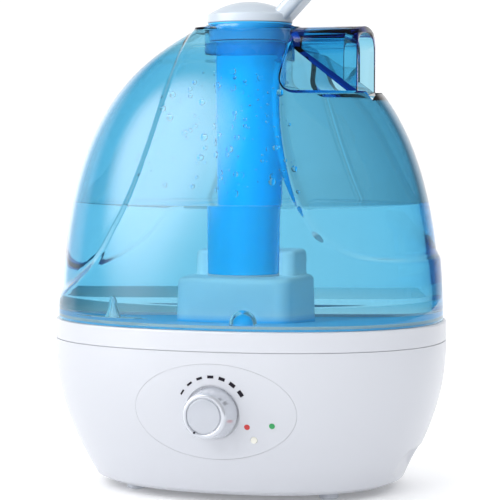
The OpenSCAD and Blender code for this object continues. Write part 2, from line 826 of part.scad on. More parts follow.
module tank_cap() color(white) at_cap(0) {
    difference() {
        union() {
            translate([0, 0, cap_z]) cylinder(r = cap_r, h = 13);
            for (a = [0 : 20 : 340]) rotate(a)
                translate([cap_r - 0.4, 0, cap_z + 1]) cylinder(r = 1, h = 11, $fn = 16);
        }
        translate([0, 0, cap_z + 2.2]) cylinder(r = neck_r + slip, h = 20);
        translate([0, 0, cap_z - 1]) cylinder(r = 4.2, h = 10);
    }
    for (a = [0 : 90 : 270]) rotate(a) translate([9.4, -1.5, cap_z + 2]) cube([2.4, 3, 15]);
    difference() {
        union() {
            translate([0, 0, cap_z + 16.1]) cylinder(r = tower_r, h = 1.8);
            translate([0, 0, cap_z + 17.8]) cylinder(r1 = 3.4, r2 = 0.6, h = 9.4);
        }
        translate([0, 0, cap_z + 10]) cylinder(r = 1.6 + run, h = 11.6);
        for (a = [45 : 90 : 315]) rotate(a) translate([8.4, 0, cap_z + 10]) cylinder(r = 2.4, h = 10);
    }
}

module cap_gasket() color(rubber_grey) at_cap(0) ring_wall(neck_r, neck_r - 3, cap_z + 2.2, neck_z - 0.2);

module valve_plunger() color("#dfe3e8") at_cap(cap_z - plunger_out) {
    cylinder(r = 1.6, h = 19.9 + plunger_out);
    translate([0, 0, 6.9 + plunger_out]) cylinder(r = 5, h = 1);
}

module valve_seal() color(rubber_grey) at_cap(0) ring_wall(6.2, 1.6, cap_z + 5.4, cap_z + 6.9);

// A steel wire spring between the plunger's flange and the guide disc
module valve_spring() color("silver") at_cap(cap_z + 7.9) {
    turns = 5;
    h = 8.2;
    r = 3.4;
    wire_r = 0.45;
    wire([for (i = [0 : 14 * turns]) let (a = i * 360 / 14, z = wire_r + (h - 2 * wire_r) * i / (14 * turns))
        [r * cos(a), r * sin(a), z]], wire_r, 6);
}

// ---------- nozzle ----------

module nozzle_collar() color(white) rotate_extrude($fn = 96) polygon([[collar_r - 2.4, lip_z + 2],
    [collar_r - slip, lip_z + 2], [collar_r - slip, collar_z[1] + 0.2], [nozzle_r - 0.4, collar_z[1] + 0.2],
    [nozzle_r - 0.4, nozzle_z - 0.2], [collar_r - 2.4, nozzle_z - 0.2]]);

// Body of revolution of the head, pulled in by inset
module head_form(inset) {
    dome_r = (pow(nozzle_r - 1, 2) + pow(dome_h, 2)) / (2 * dome_h);
    translate([0, 0, nozzle_z]) rotate_extrude($fn = 96) {
        square([nozzle_r - inset, band_h]);
        intersection() {
            translate([0, band_h + dome_h - dome_r]) circle(r = dome_r - inset);
            translate([0, band_h - 1]) square([nozzle_r - 1 - inset, 20]);
        }
    }
}

// Straight duct of the spout, from inside the head outwards
module spout_duct(inset) {
    translate([20.6, 0, nozzle_z + 5.4]) rotate([0, -spout_tilt, 0]) translate([-20, 0, 0])
        rotate([90, 0, 90]) linear_extrude(60) {
            square([spout[0] - 2 * inset - 5, spout[1] - 2 * inset], center = true);
            for (s = [-1, 1]) translate([s * (spout[0] / 2 - 2.5 - inset), 0])
                square([5, spout[1] - 2 * inset], center = true);
        }
}

module nozzle_head() color(white) {
    difference() {
        union() {
            head_form(0);
            intersection() {
                spout_duct(0);
                between(nozzle_z, spout_top_z);
                translate([0, -50, 0]) cube([100, 100, 400]);
            }
        }
        translate([0, 0, -1]) head_form(1.6);
        intersection() {
            spout_duct(spout[2]);
            between(nozzle_z, 300);
            translate([0, -50, 0]) cube([100, 100, 400]);
        }
    }
    ring_wall(collar_r - 2.4 - run, collar_r - 4.2, nozzle_z - 8, nozzle_z + 0.6);
    ring_wall(nozzle_r - 1, collar_r - 4.2, nozzle_z, nozzle_z + 1.2);
}

lower_housing();
upper_housing();
housing_seal();
bottom_cover();
intake_grille();
foot_front_left();
foot_front_right();
foot_rear_left();
foot_rear_right();
cover_screws();
control_panel();
scale_dashes();
indicator_dot_red();
indicator_dot_green();
led_lens();
indicator_led();
control_board();
potentiometer();
potentiometer_nut();
knob();
knob_face();
knob_pointer();
knob_shaft();
driver_board();
board_screws();
heat_sink();
power_transistor();
capacitors();
inductor();
transducer_wires();
reed_switch();
dc_jack();
jack_pin();
transducer_disc();
transducer_seal();
transducer_clamp();
clamp_screws();
fan_housing();
fan_motor();
fan_impeller();
fan_screws();
air_duct();
float_post();
float_ring();
float_magnet();
valve_pin();
tank_shell();
tank_collar();
tank_bottom();
tank_gasket();
mist_tube();
tube_seal();
float_dome();
tank_cap();
cap_gasket();
valve_plunger();
valve_seal();
valve_spring();
nozzle_collar();
nozzle_head();
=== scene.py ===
"""Looks of a cool mist humidifier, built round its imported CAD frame. Lengths below are millimetres unless
they say otherwise; every mesh is turned into metres when it is made."""

import json
import math

import bmesh
import bpy
import numpy as np
from mathutils import Matrix, Vector


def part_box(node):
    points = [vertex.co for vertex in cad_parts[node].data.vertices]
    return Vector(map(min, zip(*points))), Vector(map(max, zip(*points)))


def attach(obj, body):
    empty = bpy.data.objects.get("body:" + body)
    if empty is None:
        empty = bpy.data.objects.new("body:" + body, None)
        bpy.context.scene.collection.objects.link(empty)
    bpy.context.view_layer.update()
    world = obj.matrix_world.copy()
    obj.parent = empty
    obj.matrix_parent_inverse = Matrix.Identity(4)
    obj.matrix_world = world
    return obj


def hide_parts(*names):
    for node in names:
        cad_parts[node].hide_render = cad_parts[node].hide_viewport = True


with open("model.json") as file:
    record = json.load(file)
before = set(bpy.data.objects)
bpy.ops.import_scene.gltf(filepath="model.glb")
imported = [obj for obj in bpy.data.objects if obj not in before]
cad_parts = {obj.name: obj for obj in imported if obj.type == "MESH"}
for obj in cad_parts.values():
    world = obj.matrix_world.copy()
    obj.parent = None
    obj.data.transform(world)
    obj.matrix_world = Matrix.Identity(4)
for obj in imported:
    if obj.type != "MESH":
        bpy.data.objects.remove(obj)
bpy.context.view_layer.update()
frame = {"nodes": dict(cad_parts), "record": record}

MM = 0.001
TAU = 2 * math.pi
SHARP = 32                 # degrees between faces from which an edge stays sharp
ROUND = 160                # sides of a large round piece


def box_mm(node):
    """Lowest and highest corner of a CAD node in millimetres."""
    low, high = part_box(node)
    return low / MM, high / MM


# ---------- sizes ----------

PLAN_POWER = 2.24          # the plan is a superellipse of this power
DEPTH_RATIO = 0.764        # the body's depth as a share of its width
HALF_W = box_mm("bottom_cover")[1].x + 30.08
UNDERSIDE = box_mm("lower_housing")[0].z
SEAM = box_mm("lower_housing")[1].z
TANK_EDGE = box_mm("tank_shell")[0].z
RIM = TANK_EDGE - 0.2
TANK_TOP = 255.0
COLLAR_TOP = box_mm("tank_collar")[1].z
BASE_WALL = 2.6
TANK_WALL = 2.2
WALL_SWELL = 0.7           # how much thicker the tank's wall is away from its edges, as a share
THICK_FROM, THICK_TO, THICK_FADE = 98, 246, 8
LOBE_STEP = 1.9            # how far the side lobes lie below the middle band
STEP_WIDTH = 6.0           # over how much of the wall the step runs
HANDLE_X = 31.0            # where the handle leaves the tank
HANDLE_END = 66.6
HANDLE_W = 44.8
HANDLE_PAD = 2.4           # how much thicker the handle's walls are from the tank to here
PAD_END = 58.5
SHOULDER = 219.0
SHOULDER_R = 8.0
WATER_LEVEL = 158.0
WATER_OVERLAP = 0.25       # how far the water's mesh reaches into what it wets, so that no air is between
COLLAR_R = 23.0
LIP_R = 19.0
LIP_Z = 245.0
COLLAR_LOW = 236.0
TUBE_R = 17.5
TUBE_TOP_R = 18.8
TUBE_FOOT = box_mm("mist_tube")[0].z
TRAY = 76.0
TRAY_INSET = 5.4
WELL = (-7.0, 16.0, 48.0)      # y, radius and floor of the transducer well
SUMP = (-66.0, 29.0, 61.0)     # x, radius and floor of the sump
RISER = (26.0, 11.0, 108.0)    # width, depth and top of the air riser
RISER_Y = 17.5
RISER_WALL = 1.4
BOSS_FRONT = (60.0, 54.0, 117.0)
BOSS_REAR = (51.0, 26.0, 130.0)
FLOAT_AT = (14.0, -54.0)
PANEL = (4.0, 50.6, 44.0, 25.7)   # x, z, half width and half height of the oval panel
KNOB_R = 13.8
KNOB_BACK = -80.4
KNOB_H = 15.4
LED_AT = (25.3, 36.3)
LED_R = 1.75
JACK_AT = (-30, 24)
JACK_R = 7.1
PRINT_T = 0.12             # thickness of the printed dashes
NOZZLE_R = 23.75
NOZZLE_Z = TANK_TOP + 2.6

BASE_CURVE = [(HALF_W - 23.2, UNDERSIDE + 2.1), (HALF_W + 4.8, 51.7), (HALF_W - 0.6, 80.6), (HALF_W, RIM)]
TANK_CURVE = [(HALF_W - 1.5, TANK_EDGE), (HALF_W - 3.1, 212.8), (61.4, 237.5), (HANDLE_X, TANK_TOP)]
BAND_CURVE = [(29.5, TANK_TOP), (28, 215), (40, 168), (57, 144)]
BAND_END = {-1: [(57, 144), (64, 130), (78, 114), (114, 103.5)],    # how the band's edge goes on, left
            1: [(57, 144), (64, 138), (76, 130), (97, 130)]}        # and right


# ---------- curves and outlines ----------

def bezier(points, t):
    """Points of a cubic curve, as rows."""
    p = np.array(points, float)
    t = np.atleast_1d(t)[:, None]
    return (1 - t) ** 3 * p[0] + 3 * (1 - t) ** 2 * t * p[1] + 3 * (1 - t) * t * t * p[2] + t ** 3 * p[3]


def signed_power(v, p):
    """A power of the size of v, with v's sign."""
    return np.sign(v) * np.abs(v) ** p


def plan(half_w, half_d, angles):
    """Points of the body's plan as two arrays."""
    p = 2 / PLAN_POWER
    return half_w * signed_power(np.cos(angles), p), half_d * signed_power(np.sin(angles), p)


def ring(half_w, half_d, z, angles):
    """The body's plan at one height, as points."""
    x, y = plan(half_w, half_d, angles)
    return np.stack([x, y, np.full_like(x, z)], 1)


def even_angles(count):
    return np.arange(count) * TAU / count


def arc(cx, cy, r, a0, a1, count):
    """Points of an arc, in degrees, ends included."""
    a = np.radians(np.linspace(a0, a1, count))
    return [(cx + r * math.cos(t), cy + r * math.sin(t)) for t in a]


def round_rect(w, d, r, steps=8):
    """A rectangle with round corners, about the middle."""
    half = [(w / 2 - r, d / 2 - r), (r - w / 2, d / 2 - r), (r - w / 2, r - d / 2), (w / 2 - r, r - d / 2)]
    return [p for i, (x, y) in enumerate(half) for p in arc(x, y, r, 90 * i, 90 * i + 90, steps)]


# ---------- mesh tools ----------

def add_object(name, verts, faces):
    """A mesh object from points in millimetres."""
    mesh = bpy.data.meshes.new(name)
    mesh.from_pydata((np.asarray(verts, float) * MM).tolist(), [], faces)
    mesh.validate()
    obj = bpy.data.objects.new(name, mesh)
    bpy.context.scene.collection.objects.link(obj)
    return obj


def outward(obj):
    """Merges points that share a place and turns all faces outwards."""
    bm = bmesh.new()
    bm.from_mesh(obj.data)
    bmesh.ops.remove_doubles(bm, verts=bm.verts, dist=1e-7)
    bmesh.ops.recalc_face_normals(bm, faces=bm.faces)
    bm.to_mesh(obj.data)
    bm.free()
    return obj


def loft(name, rings, closed=False):
    """A solid through rings of equal length: capped at both ends, or closed into a hoop."""
    n, count = len(rings[0]), len(rings)
    pairs = [(k, (k + 1) % count) for k in range(count if closed else count - 1)]
    faces = [(a * n + i, a * n + (i + 1) % n, b * n + (i + 1) % n, b * n + i)
             for a, b in pairs for i in range(n)]
    if not closed:
        faces += [tuple(range(n))[::-1], tuple((count - 1) * n + i for i in range(n))]
    return outward(add_object(name, np.concatenate([np.asarray(r, float) for r in rings]), faces))


def revolve(name, profile, sides=128, centre=(0, 0), closed=False):
    """Turns a profile of (radius, z) about an upright axis. A closed profile makes a hoop."""
    a = even_angles(sides)
    rings = [np.stack([centre[0] + r * np.cos(a), centre[1] + r * np.sin(a), np.full(sides, z)], 1)
             for r, z in profile]
    return loft(name, rings, closed)


def rod(name, r, low, high, sides=128, centre=(0, 0)):
    """An upright cylinder."""
    return revolve(name, [(0, low), (r, low), (r, high), (0, high)], sides, centre)


def prism(name, outline, place, low, high):
    """An outline of (u, v) run from low to high. place turns (u, v, along) into a point."""
    return loft(name, [np.array([place(u, v, w) for u, v in outline]) for w in (low, high)])


def upright(u, v, w):
    return (u, v, w)


def along_y(u, v, w):
    return (u, w, v)


def boolean(obj, operation, *others):
    """Joins, cuts or intersects obj with the others, which are used up."""
    for other in others:
        cut = obj.modifiers.new("cut", "BOOLEAN")
        cut.operation, cut.solver, cut.object = operation, "MANIFOLD", other
        made = bpy.data.meshes.new_from_object(obj.evaluated_get(bpy.context.evaluated_depsgraph_get()))
        obj.modifiers.clear()
        obj.data = made
        bpy.data.objects.remove(other)
    return obj


def transform(obj, matrix):
    obj.data.transform(matrix)
    return obj


def moved(obj, x, y, z):
    return transform(obj, Matrix.Translation(Vector((x, y, z)) * MM))


def facing_front(obj, x, z, y):
    """Turns what stands on +Z to face the front, at that place."""
    return transform(obj, Matrix.Translation(Vector((x, y, z)) * MM) @ Matrix.Rotation(math.pi / 2, 4, "X"))


def true_normals(obj, curve):
    """Gives an outside that follows a body's curve of (half width, z) its exact normals, so that what
    the cuts leave of it stays smooth."""
    mesh = obj.data
    mesh.shade_smooth()
    mesh.set_sharp_from_angle(angle=math.radians(SHARP))
    count = len(mesh.loops)
    vert, normal = np.empty(count, np.int32), np.empty(count * 3, np.float32)
    mesh.loops.foreach_get("vertex_index", vert)
    mesh.corner_normals.foreach_get("vector", normal)
    normal = normal.reshape(-1, 3)
    spots = np.array([v.co for v in mesh.vertices])[vert] / MM
    half_w = np.interp(spots[:, 2], curve[:, 1], curve[:, 0])
    slope = np.interp(spots[:, 2], curve[:, 1], np.gradient(curve[:, 0], curve[:, 1]))
    across = np.abs(spots[:, :2]) / half_w[:, None] / [1, DEPTH_RATIO]
    filled = (across ** PLAN_POWER).sum(1)
    level = np.sign(spots[:, :2]) * across ** (PLAN_POWER - 1) / [1, DEPTH_RATIO]
    exact = np.column_stack([level, -slope * filled])
    exact /= np.linalg.norm(exact, axis=1)[:, None]
    flat = np.empty((len(mesh.polygons), 3), np.float32)
    mesh.polygons.foreach_get("normal", flat.ravel())
    per_loop = np.repeat(flat, [p.loop_total for p in mesh.polygons], axis=0)
    on_it = (np.abs(filled - 1) < 0.006) & ((per_loop * exact).sum(1) > 0.97)
    normal[on_it] = exact[on_it]
    mesh.normals_split_custom_set(normal.tolist())


def place_piece(obj, name, body, material, nodes=(), sharp=SHARP, curve=None):
    """Names a finished piece, smooths it up to an edge angle and puts it on its body."""
    obj.name = obj.data.name = name
    if curve is None:
        obj.data.shade_smooth()
        obj.data.set_sharp_from_angle(angle=math.radians(sharp))
    else:
        true_normals(obj, curve)
    obj.data.materials.clear()
    obj.data.materials.append(material)
    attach(obj, body)
    if nodes:
        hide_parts(*nodes)
    return obj


# ---------- materials ----------

def new_material(name):
    mat = bpy.data.materials.new(name)
    mat.use_nodes = True
    mat.node_tree.nodes.clear()
    return mat, mat.node_tree.nodes, mat.node_tree.links


def add(nodes, kind, **values):
    """A node with its input sockets or properties set by name."""
    node = nodes.new(kind)
    for key, value in values.items():
        if key in node.inputs:
            node.inputs[key].default_value = value
        else:
            setattr(node, key, value)
    return node


def ramp(nodes, links, source, low, high, start=0.3, end=0.7):
    node = nodes.new("ShaderNodeMapRange")
    node.inputs["From Min"].default_value, node.inputs["From Max"].default_value = start, end
    node.inputs["To Min"].default_value, node.inputs["To Max"].default_value = low, high
    links.new(source, node.inputs["Value"])
    return node.outputs["Result"]


def tinted(nodes, links, source, colour, spread):
    """Mixes a colour towards a darker one by a noise value."""
    mix = nodes.new("ShaderNodeMix")
    mix.data_type = "RGBA"
    mix.inputs["A"].default_value = (*[c * (1 - spread) for c in colour], 1)
    mix.inputs["B"].default_value = (*colour, 1)
    links.new(source, mix.inputs["Factor"])
    return mix.outputs["Result"]


def paint_light_below(nodes, links, place, colour, painted_light_colour, height):
    """Paints light below a height in metres: there the colour changes to another one, which stands in for
    light.
    """
    split = nodes.new("ShaderNodeSeparateXYZ")
    links.new(place, split.inputs["Vector"])
    mix = nodes.new("ShaderNodeMix")
    mix.data_type = "RGBA"
    mix.inputs["A"].default_value = (*painted_light_colour, 1)
    links.new(colour, mix.inputs["B"])
    links.new(ramp(nodes, links, split.outputs["Z"], 0.0, 1.0, height, height + 0.004), mix.inputs["Factor"])
    return mix.outputs["Result"]


def solid(name, colour, roughness=0.35, spread=0.03, grain=0.0012, height=0.02, metallic=0.0, coat=0.0,
          stretch=(1, 1, 1), rough_spread=0.08, ior=1.5, subsurface=0.0, lower=None):
    """Plastic, rubber or metal: a fine grain in the bump, and slow changes of colour and roughness.
    grain is the grain's size in metres and height the bump's strength. lower, if given, is a colour and a
    height in metres, and below that height the base colour gives way to that colour as painted light."""
    mat, nodes, links = new_material(name)
    shader = add(nodes, "ShaderNodeBsdfPrincipled", Metallic=metallic, IOR=ior)
    shader.inputs["Coat Weight"].default_value = coat
    shader.inputs["Coat Roughness"].default_value = 0.08
    if subsurface:
        shader.inputs["Subsurface Weight"].default_value = subsurface
        shader.inputs["Subsurface Radius"].default_value = (0.004, 0.004, 0.005)
        shader.inputs["Subsurface Scale"].default_value = 1.0
    place = nodes.new("ShaderNodeTexCoord")
    stretched = add(nodes, "ShaderNodeMapping", Scale=stretch)
    links.new(place.outputs["Object"], stretched.inputs["Vector"])
    slow = add(nodes, "ShaderNodeTexNoise", Scale=28.0, Detail=3.0)
    fine = add(nodes, "ShaderNodeTexNoise", Scale=1 / grain, Detail=4.0)
    for noise in (slow, fine):
        links.new(stretched.outputs["Vector"], noise.inputs["Vector"])
    tint = tinted(nodes, links, slow.outputs["Fac"], colour, spread)
    # painted light: below lower's height the base colour gives way to lower's colour
    if lower:
        tint = paint_light_below(nodes, links, place.outputs["Object"], tint, *lower)
    links.new(tint, shader.inputs["Base Color"])
    links.new(ramp(nodes, links, slow.outputs["Fac"], roughness, roughness + rough_spread),
              shader.inputs["Roughness"])
    bump = add(nodes, "ShaderNodeBump", Strength=height, Distance=grain)
    links.new(fine.outputs["Fac"], bump.inputs["Height"])
    links.new(bump.outputs["Normal"], shader.inputs["Normal"])
    out = nodes.new("ShaderNodeOutputMaterial")
    links.new(shader.outputs["BSDF"], out.inputs["Surface"])
    return mat


def clear(name, absorb, density, ior=1.49, ripple=0.0, ripple_size=0.02, milky=(1, 1, 1), milk=0.0):
    """A clear moulding or liquid. absorb is the colour that the body lets through, and density says how
    deep it is, per metre. milky is the colour of its haze and milk how much of that there is. Lamps shine
    through it."""
    mat, nodes, links = new_material(name)
    glass = add(nodes, "ShaderNodeBsdfGlass", IOR=ior, Roughness=0.0)
    if ripple:
        place = nodes.new("ShaderNodeTexCoord")
        wave = add(nodes, "ShaderNodeTexNoise", Scale=1 / ripple_size, Detail=1.0)
        links.new(place.outputs["Object"], wave.inputs["Vector"])
        bump = add(nodes, "ShaderNodeBump", Strength=ripple, Distance=0.001)
        links.new(wave.outputs["Fac"], bump.inputs["Height"])
        links.new(bump.outputs["Normal"], glass.inputs["Normal"])
    look = glass.outputs["BSDF"]
    if milk:
        haze = nodes.new("ShaderNodeBsdfPrincipled")
        haze.inputs["Base Color"].default_value = (*milky, 1)
        haze.inputs["Roughness"].default_value = 0.12
        hazy = nodes.new("ShaderNodeMixShader")
        hazy.inputs["Fac"].default_value = milk
        links.new(glass.outputs["BSDF"], hazy.inputs[1])
        links.new(haze.outputs["BSDF"], hazy.inputs[2])
        look = hazy.outputs["Shader"]
    straight = nodes.new("ShaderNodeBsdfTransparent")
    path = nodes.new("ShaderNodeLightPath")
    mix = nodes.new("ShaderNodeMixShader")
    links.new(path.outputs["Is Shadow Ray"], mix.inputs["Fac"])
    links.new(look, mix.inputs[1])
    links.new(straight.outputs["BSDF"], mix.inputs[2])
    body = add(nodes, "ShaderNodeVolumeAbsorption", Density=density)
    body.inputs["Color"].default_value = (*absorb, 1)
    unlit = nodes.new("ShaderNodeMixShader")
    links.new(path.outputs["Is Shadow Ray"], unlit.inputs["Fac"])
    links.new(body.outputs["Volume"], unlit.inputs[1])
    out = nodes.new("ShaderNodeOutputMaterial")
    links.new(mix.outputs["Shader"], out.inputs["Surface"])
    links.new(unlit.outputs["Shader"], out.inputs["Volume"])
    return mat


WHITE = solid("white_moulding", (0.57, 0.588, 0.635), 0.30, 0.01, 0.0009, 0.003, coat=0.25)
# the base's white moulding, made darker on the nozzle as painted shade
NOZZLE_PAINTED_SHADE = solid("nozzle_painted_shade_moulding", (0.45, 0.505, 0.565), 0.31, 0.01, 0.0009, 0.003, coat=0.2)
INNER = solid("inner_moulding", (0.80, 0.93, 0.98), 0.42, 0.02, 0.0012, 0.04)
# the inner white moulding with painted light: bright azure below 95.5 mm, where the floor's edge lies in
# shade between the tank's wall and the floor
TANK_FLOOR_PAINTED_LIGHT = solid("tank_floor_painted_light", (0.80, 0.93, 0.98), 0.42, 0.02, 0.0012, 0.04,
                   lower=((0.06, 0.56, 0.96), 0.0955))
KNOB = solid("knob_pearl", (0.47, 0.495, 0.55), 0.18, 0.02, 0.0006, 0.02, coat=0.6)
KNOB_SIDE = solid("knob_gloss", (0.60, 0.625, 0.68), 0.04, 0.02, 0.0006, 0.002, metallic=0.35, coat=0.6,
                  rough_spread=0.03)
FOOT = solid("foot_rubber", (0.60, 0.63, 0.69), 0.5, 0.03, 0.0006, 0.1)
RING_BLUE = solid("nozzle_ring_blue", (0.03, 0.42, 0.85), 0.3, 0.02, 0.0009, 0.02)
CHARCOAL = solid("printed_charcoal", (0.014, 0.011, 0.018), 0.6, 0.1, 0.0003, 0.1, ior=1.25)
RED = solid("printed_red", (0.55, 0.04, 0.04), 0.5, 0.1, 0.0003, 0.1)
GREEN = solid("printed_green", (0.03, 0.32, 0.1), 0.5, 0.1, 0.0003, 0.1)
RUBBER = solid("rubber", (0.11, 0.115, 0.125), 0.62, 0.15, 0.0005, 0.25)
SEAL = solid("silicone", (0.55, 0.6, 0.64), 0.5, 0.05, 0.0006, 0.1, subsurface=0.2)
BLACK = solid("black_moulding", (0.022, 0.022, 0.026), 0.38, 0.15, 0.0006, 0.12)
BOARD = solid("board_green", (0.02, 0.13, 0.05), 0.35, 0.25, 0.0008, 0.1, coat=0.4)
STEEL = solid("zinc_steel", (0.56, 0.57, 0.6), 0.3, 0.08, 0.0004, 0.12, metallic=1.0)
ALUMINIUM = solid("extruded_aluminium", (0.66, 0.67, 0.69), 0.32, 0.08, 0.0006, 0.2, metallic=1.0,
                  stretch=(1, 1, 0.05))
BRASS = solid("brass", (0.63, 0.45, 0.18), 0.28, 0.12, 0.0004, 0.1, metallic=1.0)
COPPER = solid("enamelled_copper", (0.52, 0.2, 0.08), 0.3, 0.2, 0.0008, 0.5, metallic=0.8,
               stretch=(1, 1, 0.2))
WIRE_RED = solid("wire_red", (0.42, 0.03, 0.02), 0.4, 0.1, 0.0004, 0.1)

TANK_BLUE = clear("tank_blue", (0.0, 0.70, 0.89), 240.0, ripple=0.015, ripple_size=0.03)
TUBE_BLUE = clear("tube_azure", (0.0, 0.72, 0.99), 420.0, ripple=0.05, ripple_size=0.012,
                  milky=(0.0, 0.60, 1.0), milk=0.62)
WATER = clear("water", (0.82, 0.65, 0.62), 2.6, ior=1.333, ripple=0.01, ripple_size=0.05)
BEAD = clear("water_beads", (0.9, 0.97, 1.0), 5.0, ior=1.333)
LENS = clear("led_lens", (0.98, 0.96, 0.8), 40.0, ior=1.45, milky=(0.98, 0.97, 0.88), milk=0.75)

SLOT_MATERIALS = {
    "white_plastic": WHITE, "inner_white_plastic": INNER, "tank_blue": TANK_BLUE, "tube_azure": TUBE_BLUE,
    "knob_grey": KNOB, "print_charcoal": CHARCOAL, "print_red": RED, "print_green": GREEN,
    "led_clear": LENS, "rubber": RUBBER, "seal_rubber": SEAL, "black_plastic": BLACK, "board_green": BOARD,
    "steel": STEEL, "aluminium": ALUMINIUM, "brass": BRASS, "copper": COPPER, "wire_red": WIRE_RED,
}


def dress_cad_nodes():
    """Every CAD node gets its slot's material."""
    for part in frame["record"]["subparts"]:
        node = frame["nodes"][part["node"]]
        node.data.materials.clear()
        node.data.materials.append(SLOT_MATERIALS[part["material_slot"]])
    frame["nodes"]["nozzle_collar"].data.materials[0] = RING_BLUE
    for name in ("foot_front_left", "foot_front_right", "foot_rear_left", "foot_rear_right", "housing_seal"):
        frame["nodes"][name].data.materials[0] = FOOT


# ---------- base ----------

BASE_ANGLES = even_angles(360)


def base_profile(inset=0.0, rows=70):
    """Rings of (half width, half depth, z) of the base's outside, from the underside to the rim."""
    curve = np.vstack([[HALF_W - 28, UNDERSIDE], bezier(BASE_CURVE, np.linspace(0, 1, rows))])
    return [(a - inset, a * DEPTH_RATIO - inset, z) for a, z in curve]


def base_outline():
    """The base's outside as a fine curve of (half width, z)."""
    return np.array([(a, z) for a, d, z in base_profile(rows=400)])


def base_form(name, inset=0.0, low=UNDERSIDE, high=RIM):
    """The base's outside as a solid between two heights."""
    rows = base_profile(inset)
    half_w, half_d, z = zip(*rows)
    ends = [(np.interp(h, z, half_w), np.interp(h, z, half_d), h) for h in (low, high)]
    kept = [ends[0]] + [r for r in rows if low + 0.3 < r[2] < high - 0.3] + [ends[1]]
    return loft(name, [ring(a, d, h, BASE_ANGLES) for a, d, h in kept])


def plan_block(name, half_w, low, high, inset):
    """An upright block with the body's plan, let in all round."""
    half_d = half_w * DEPTH_RATIO - inset
    return loft(name, [ring(half_w - inset, half_d, h, BASE_ANGLES) for h in (low, high)])


def smooth_min(a, b, k):
    """The lesser of two, rounded where they meet over a width k."""
    h = np.clip(0.5 + 0.5 * (b - a) / k, 0, 1)
    return b * (1 - h) + a * h - k * h * (1 - h)


def press_grips(obj, grow):
    """Presses a finger recess into both sides, with soft edges."""
    out, half_len, height, r = 98.5, 14.0, 12.5, 12.0 + grow
    p = np.array([v.co for v in obj.data.vertices]) / MM
    off = np.abs(p[:, 1]) - half_len
    across = np.hypot(np.maximum(off, 0), p[:, 2] - height)
    reach = out - np.sqrt(np.maximum(r * r - across * across, 0))
    pressed = smooth_min(np.abs(p[:, 0]), reach, 1.6)
    inside = (across < r) & (np.abs(p[:, 0]) > 60)
    p[inside, 0] = (np.sign(p[:, 0]) * pressed)[inside]
    obj.data.vertices.foreach_set("co", (p * MM).ravel())
    return obj


def oval(name, grow):
    """The panel's oval, run through the front."""
    x, z, half_w, half_h = PANEL
    half_w, half_h = half_w + grow, half_h + grow
    outline = [(x + half_w * math.cos(t), z + half_h * math.sin(t)) for t in even_angles(180)]
    return prism(name, outline, along_y, -120, -40)


def y_cylinder(name, x, z, r, low, high):
    """A cylinder that lies along y, between two places on it."""
    outline = [(x + r * math.cos(t), z + r * math.sin(t)) for t in even_angles(64)]
    return prism(name, outline, along_y, low, high)


def make_lower_housing():
    """The lower housing, with the panel's seat, the holes for the shaft, lens and jack, and the air slots."""
    panel_x, panel_z = PANEL[:2]
    oval_gap, panel_seat, shaft_hole_r, lens_gap = 0.12, 1.1, 5, 0.15
    shell = press_grips(base_form("shell", 0.0, UNDERSIDE, SEAM), 0.0)
    hollow = press_grips(base_form("hollow", BASE_WALL, UNDERSIDE + BASE_WALL, RIM), BASE_WALL)
    boolean(shell, "DIFFERENCE", hollow)
    boolean(shell, "DIFFERENCE", plan_block("opening", HALF_W - 30, UNDERSIDE - 1, UNDERSIDE + 4, 0))
    pocket = boolean(oval("pocket", oval_gap), "DIFFERENCE", base_form("keep", panel_seat, UNDERSIDE, SEAM))
    boolean(shell, "DIFFERENCE", pocket)
    boolean(shell, "UNION", y_cylinder("seat", panel_x, panel_z, KNOB_R + 0.7, KNOB_BACK + 1.2, -73))
    boolean(shell, "DIFFERENCE", y_cylinder("shaft_hole", panel_x, panel_z, shaft_hole_r, -100, -50),
            y_cylinder("lens_hole", *LED_AT, LED_R + lens_gap, -100, -50),
            y_cylinder("jack_hole", *JACK_AT, JACK_R, 50, 110))
    slot_r, slot_half, slot_apart, slots_x, slots_z, slot_pitch = 1.1, 16.9, 22, 26, 40, 6
    for row in range(4):
        for side in (-1, 1):
            x, z = side * slot_apart + slots_x, slots_z + row * slot_pitch
            outline = arc(x + slot_half, z, slot_r, -90, 90, 8) + arc(x - slot_half, z, slot_r, 90, 270, 8)
            boolean(shell, "DIFFERENCE", prism("slot", outline, along_y, 50, 110))
    place_piece(shell, "base_shell", "base", WHITE, ["lower_housing"], curve=base_outline())


def make_control_panel():
    """The oval front panel, one millimetre thick."""
    panel = boolean(base_form("panel", 0.0, 20, 80), "INTERSECT", oval("oval", 0))
    boolean(panel, "DIFFERENCE", base_form("behind", 1.0, 10, 90),
            y_cylinder("seat", *PANEL[:2], KNOB_R + 0.8, -100, -50),
            y_cylinder("lens_hole", *LED_AT, LED_R + 0.1, -100, -50))
    place_piece(panel, "front_panel", "base", WHITE, ["control_panel"], curve=base_outline())


def make_scale():
    """The dashes on the panel, which grow thicker clockwise round the knob."""
    skin = boolean(base_form("dashes", -PRINT_T, 20, 92), "DIFFERENCE", base_form("skin_back", 0.1, 15, 94))
    marks = []
    x, z = PANEL[:2]
    first, sweep, r = 147, 113, 19.0
    for step in np.linspace(0, 1, 7):
        turn = math.radians(first - sweep * step)
        half_w, half_l = 0.46 + 0.62 * step, 1.55 + 0.2 * step
        outline = [(x + (r + u) * math.cos(turn) - v * math.sin(turn),
                    z + (r + u) * math.sin(turn) + v * math.cos(turn))
                   for u, v in ((-half_w, -half_l), (half_w, -half_l), (half_w, half_l), (-half_w, half_l))]
        marks.append(prism("mark", outline, along_y, -110, -30))
    for mark in marks[1:]:
        boolean(marks[0], "UNION", mark)
    boolean(skin, "INTERSECT", marks[0])
    place_piece(skin, "mist_scale", "base", CHARCOAL, ["scale_dashes"],
                curve=base_outline())


def pit(name, r, floor_z, x, y):
    """The room of a round pit in the tray, with a round bottom edge and a soft mouth."""
    lip = 1.2
    return revolve(name, [(0, floor_z), (r - 1, floor_z), (r, floor_z + 1), (r, TRAY - lip),
                          (r + 0.4, TRAY - 0.4), (r + lip, TRAY), (r + lip, TRAY + 5), (0, TRAY + 5)],
                   centre=(x, y))


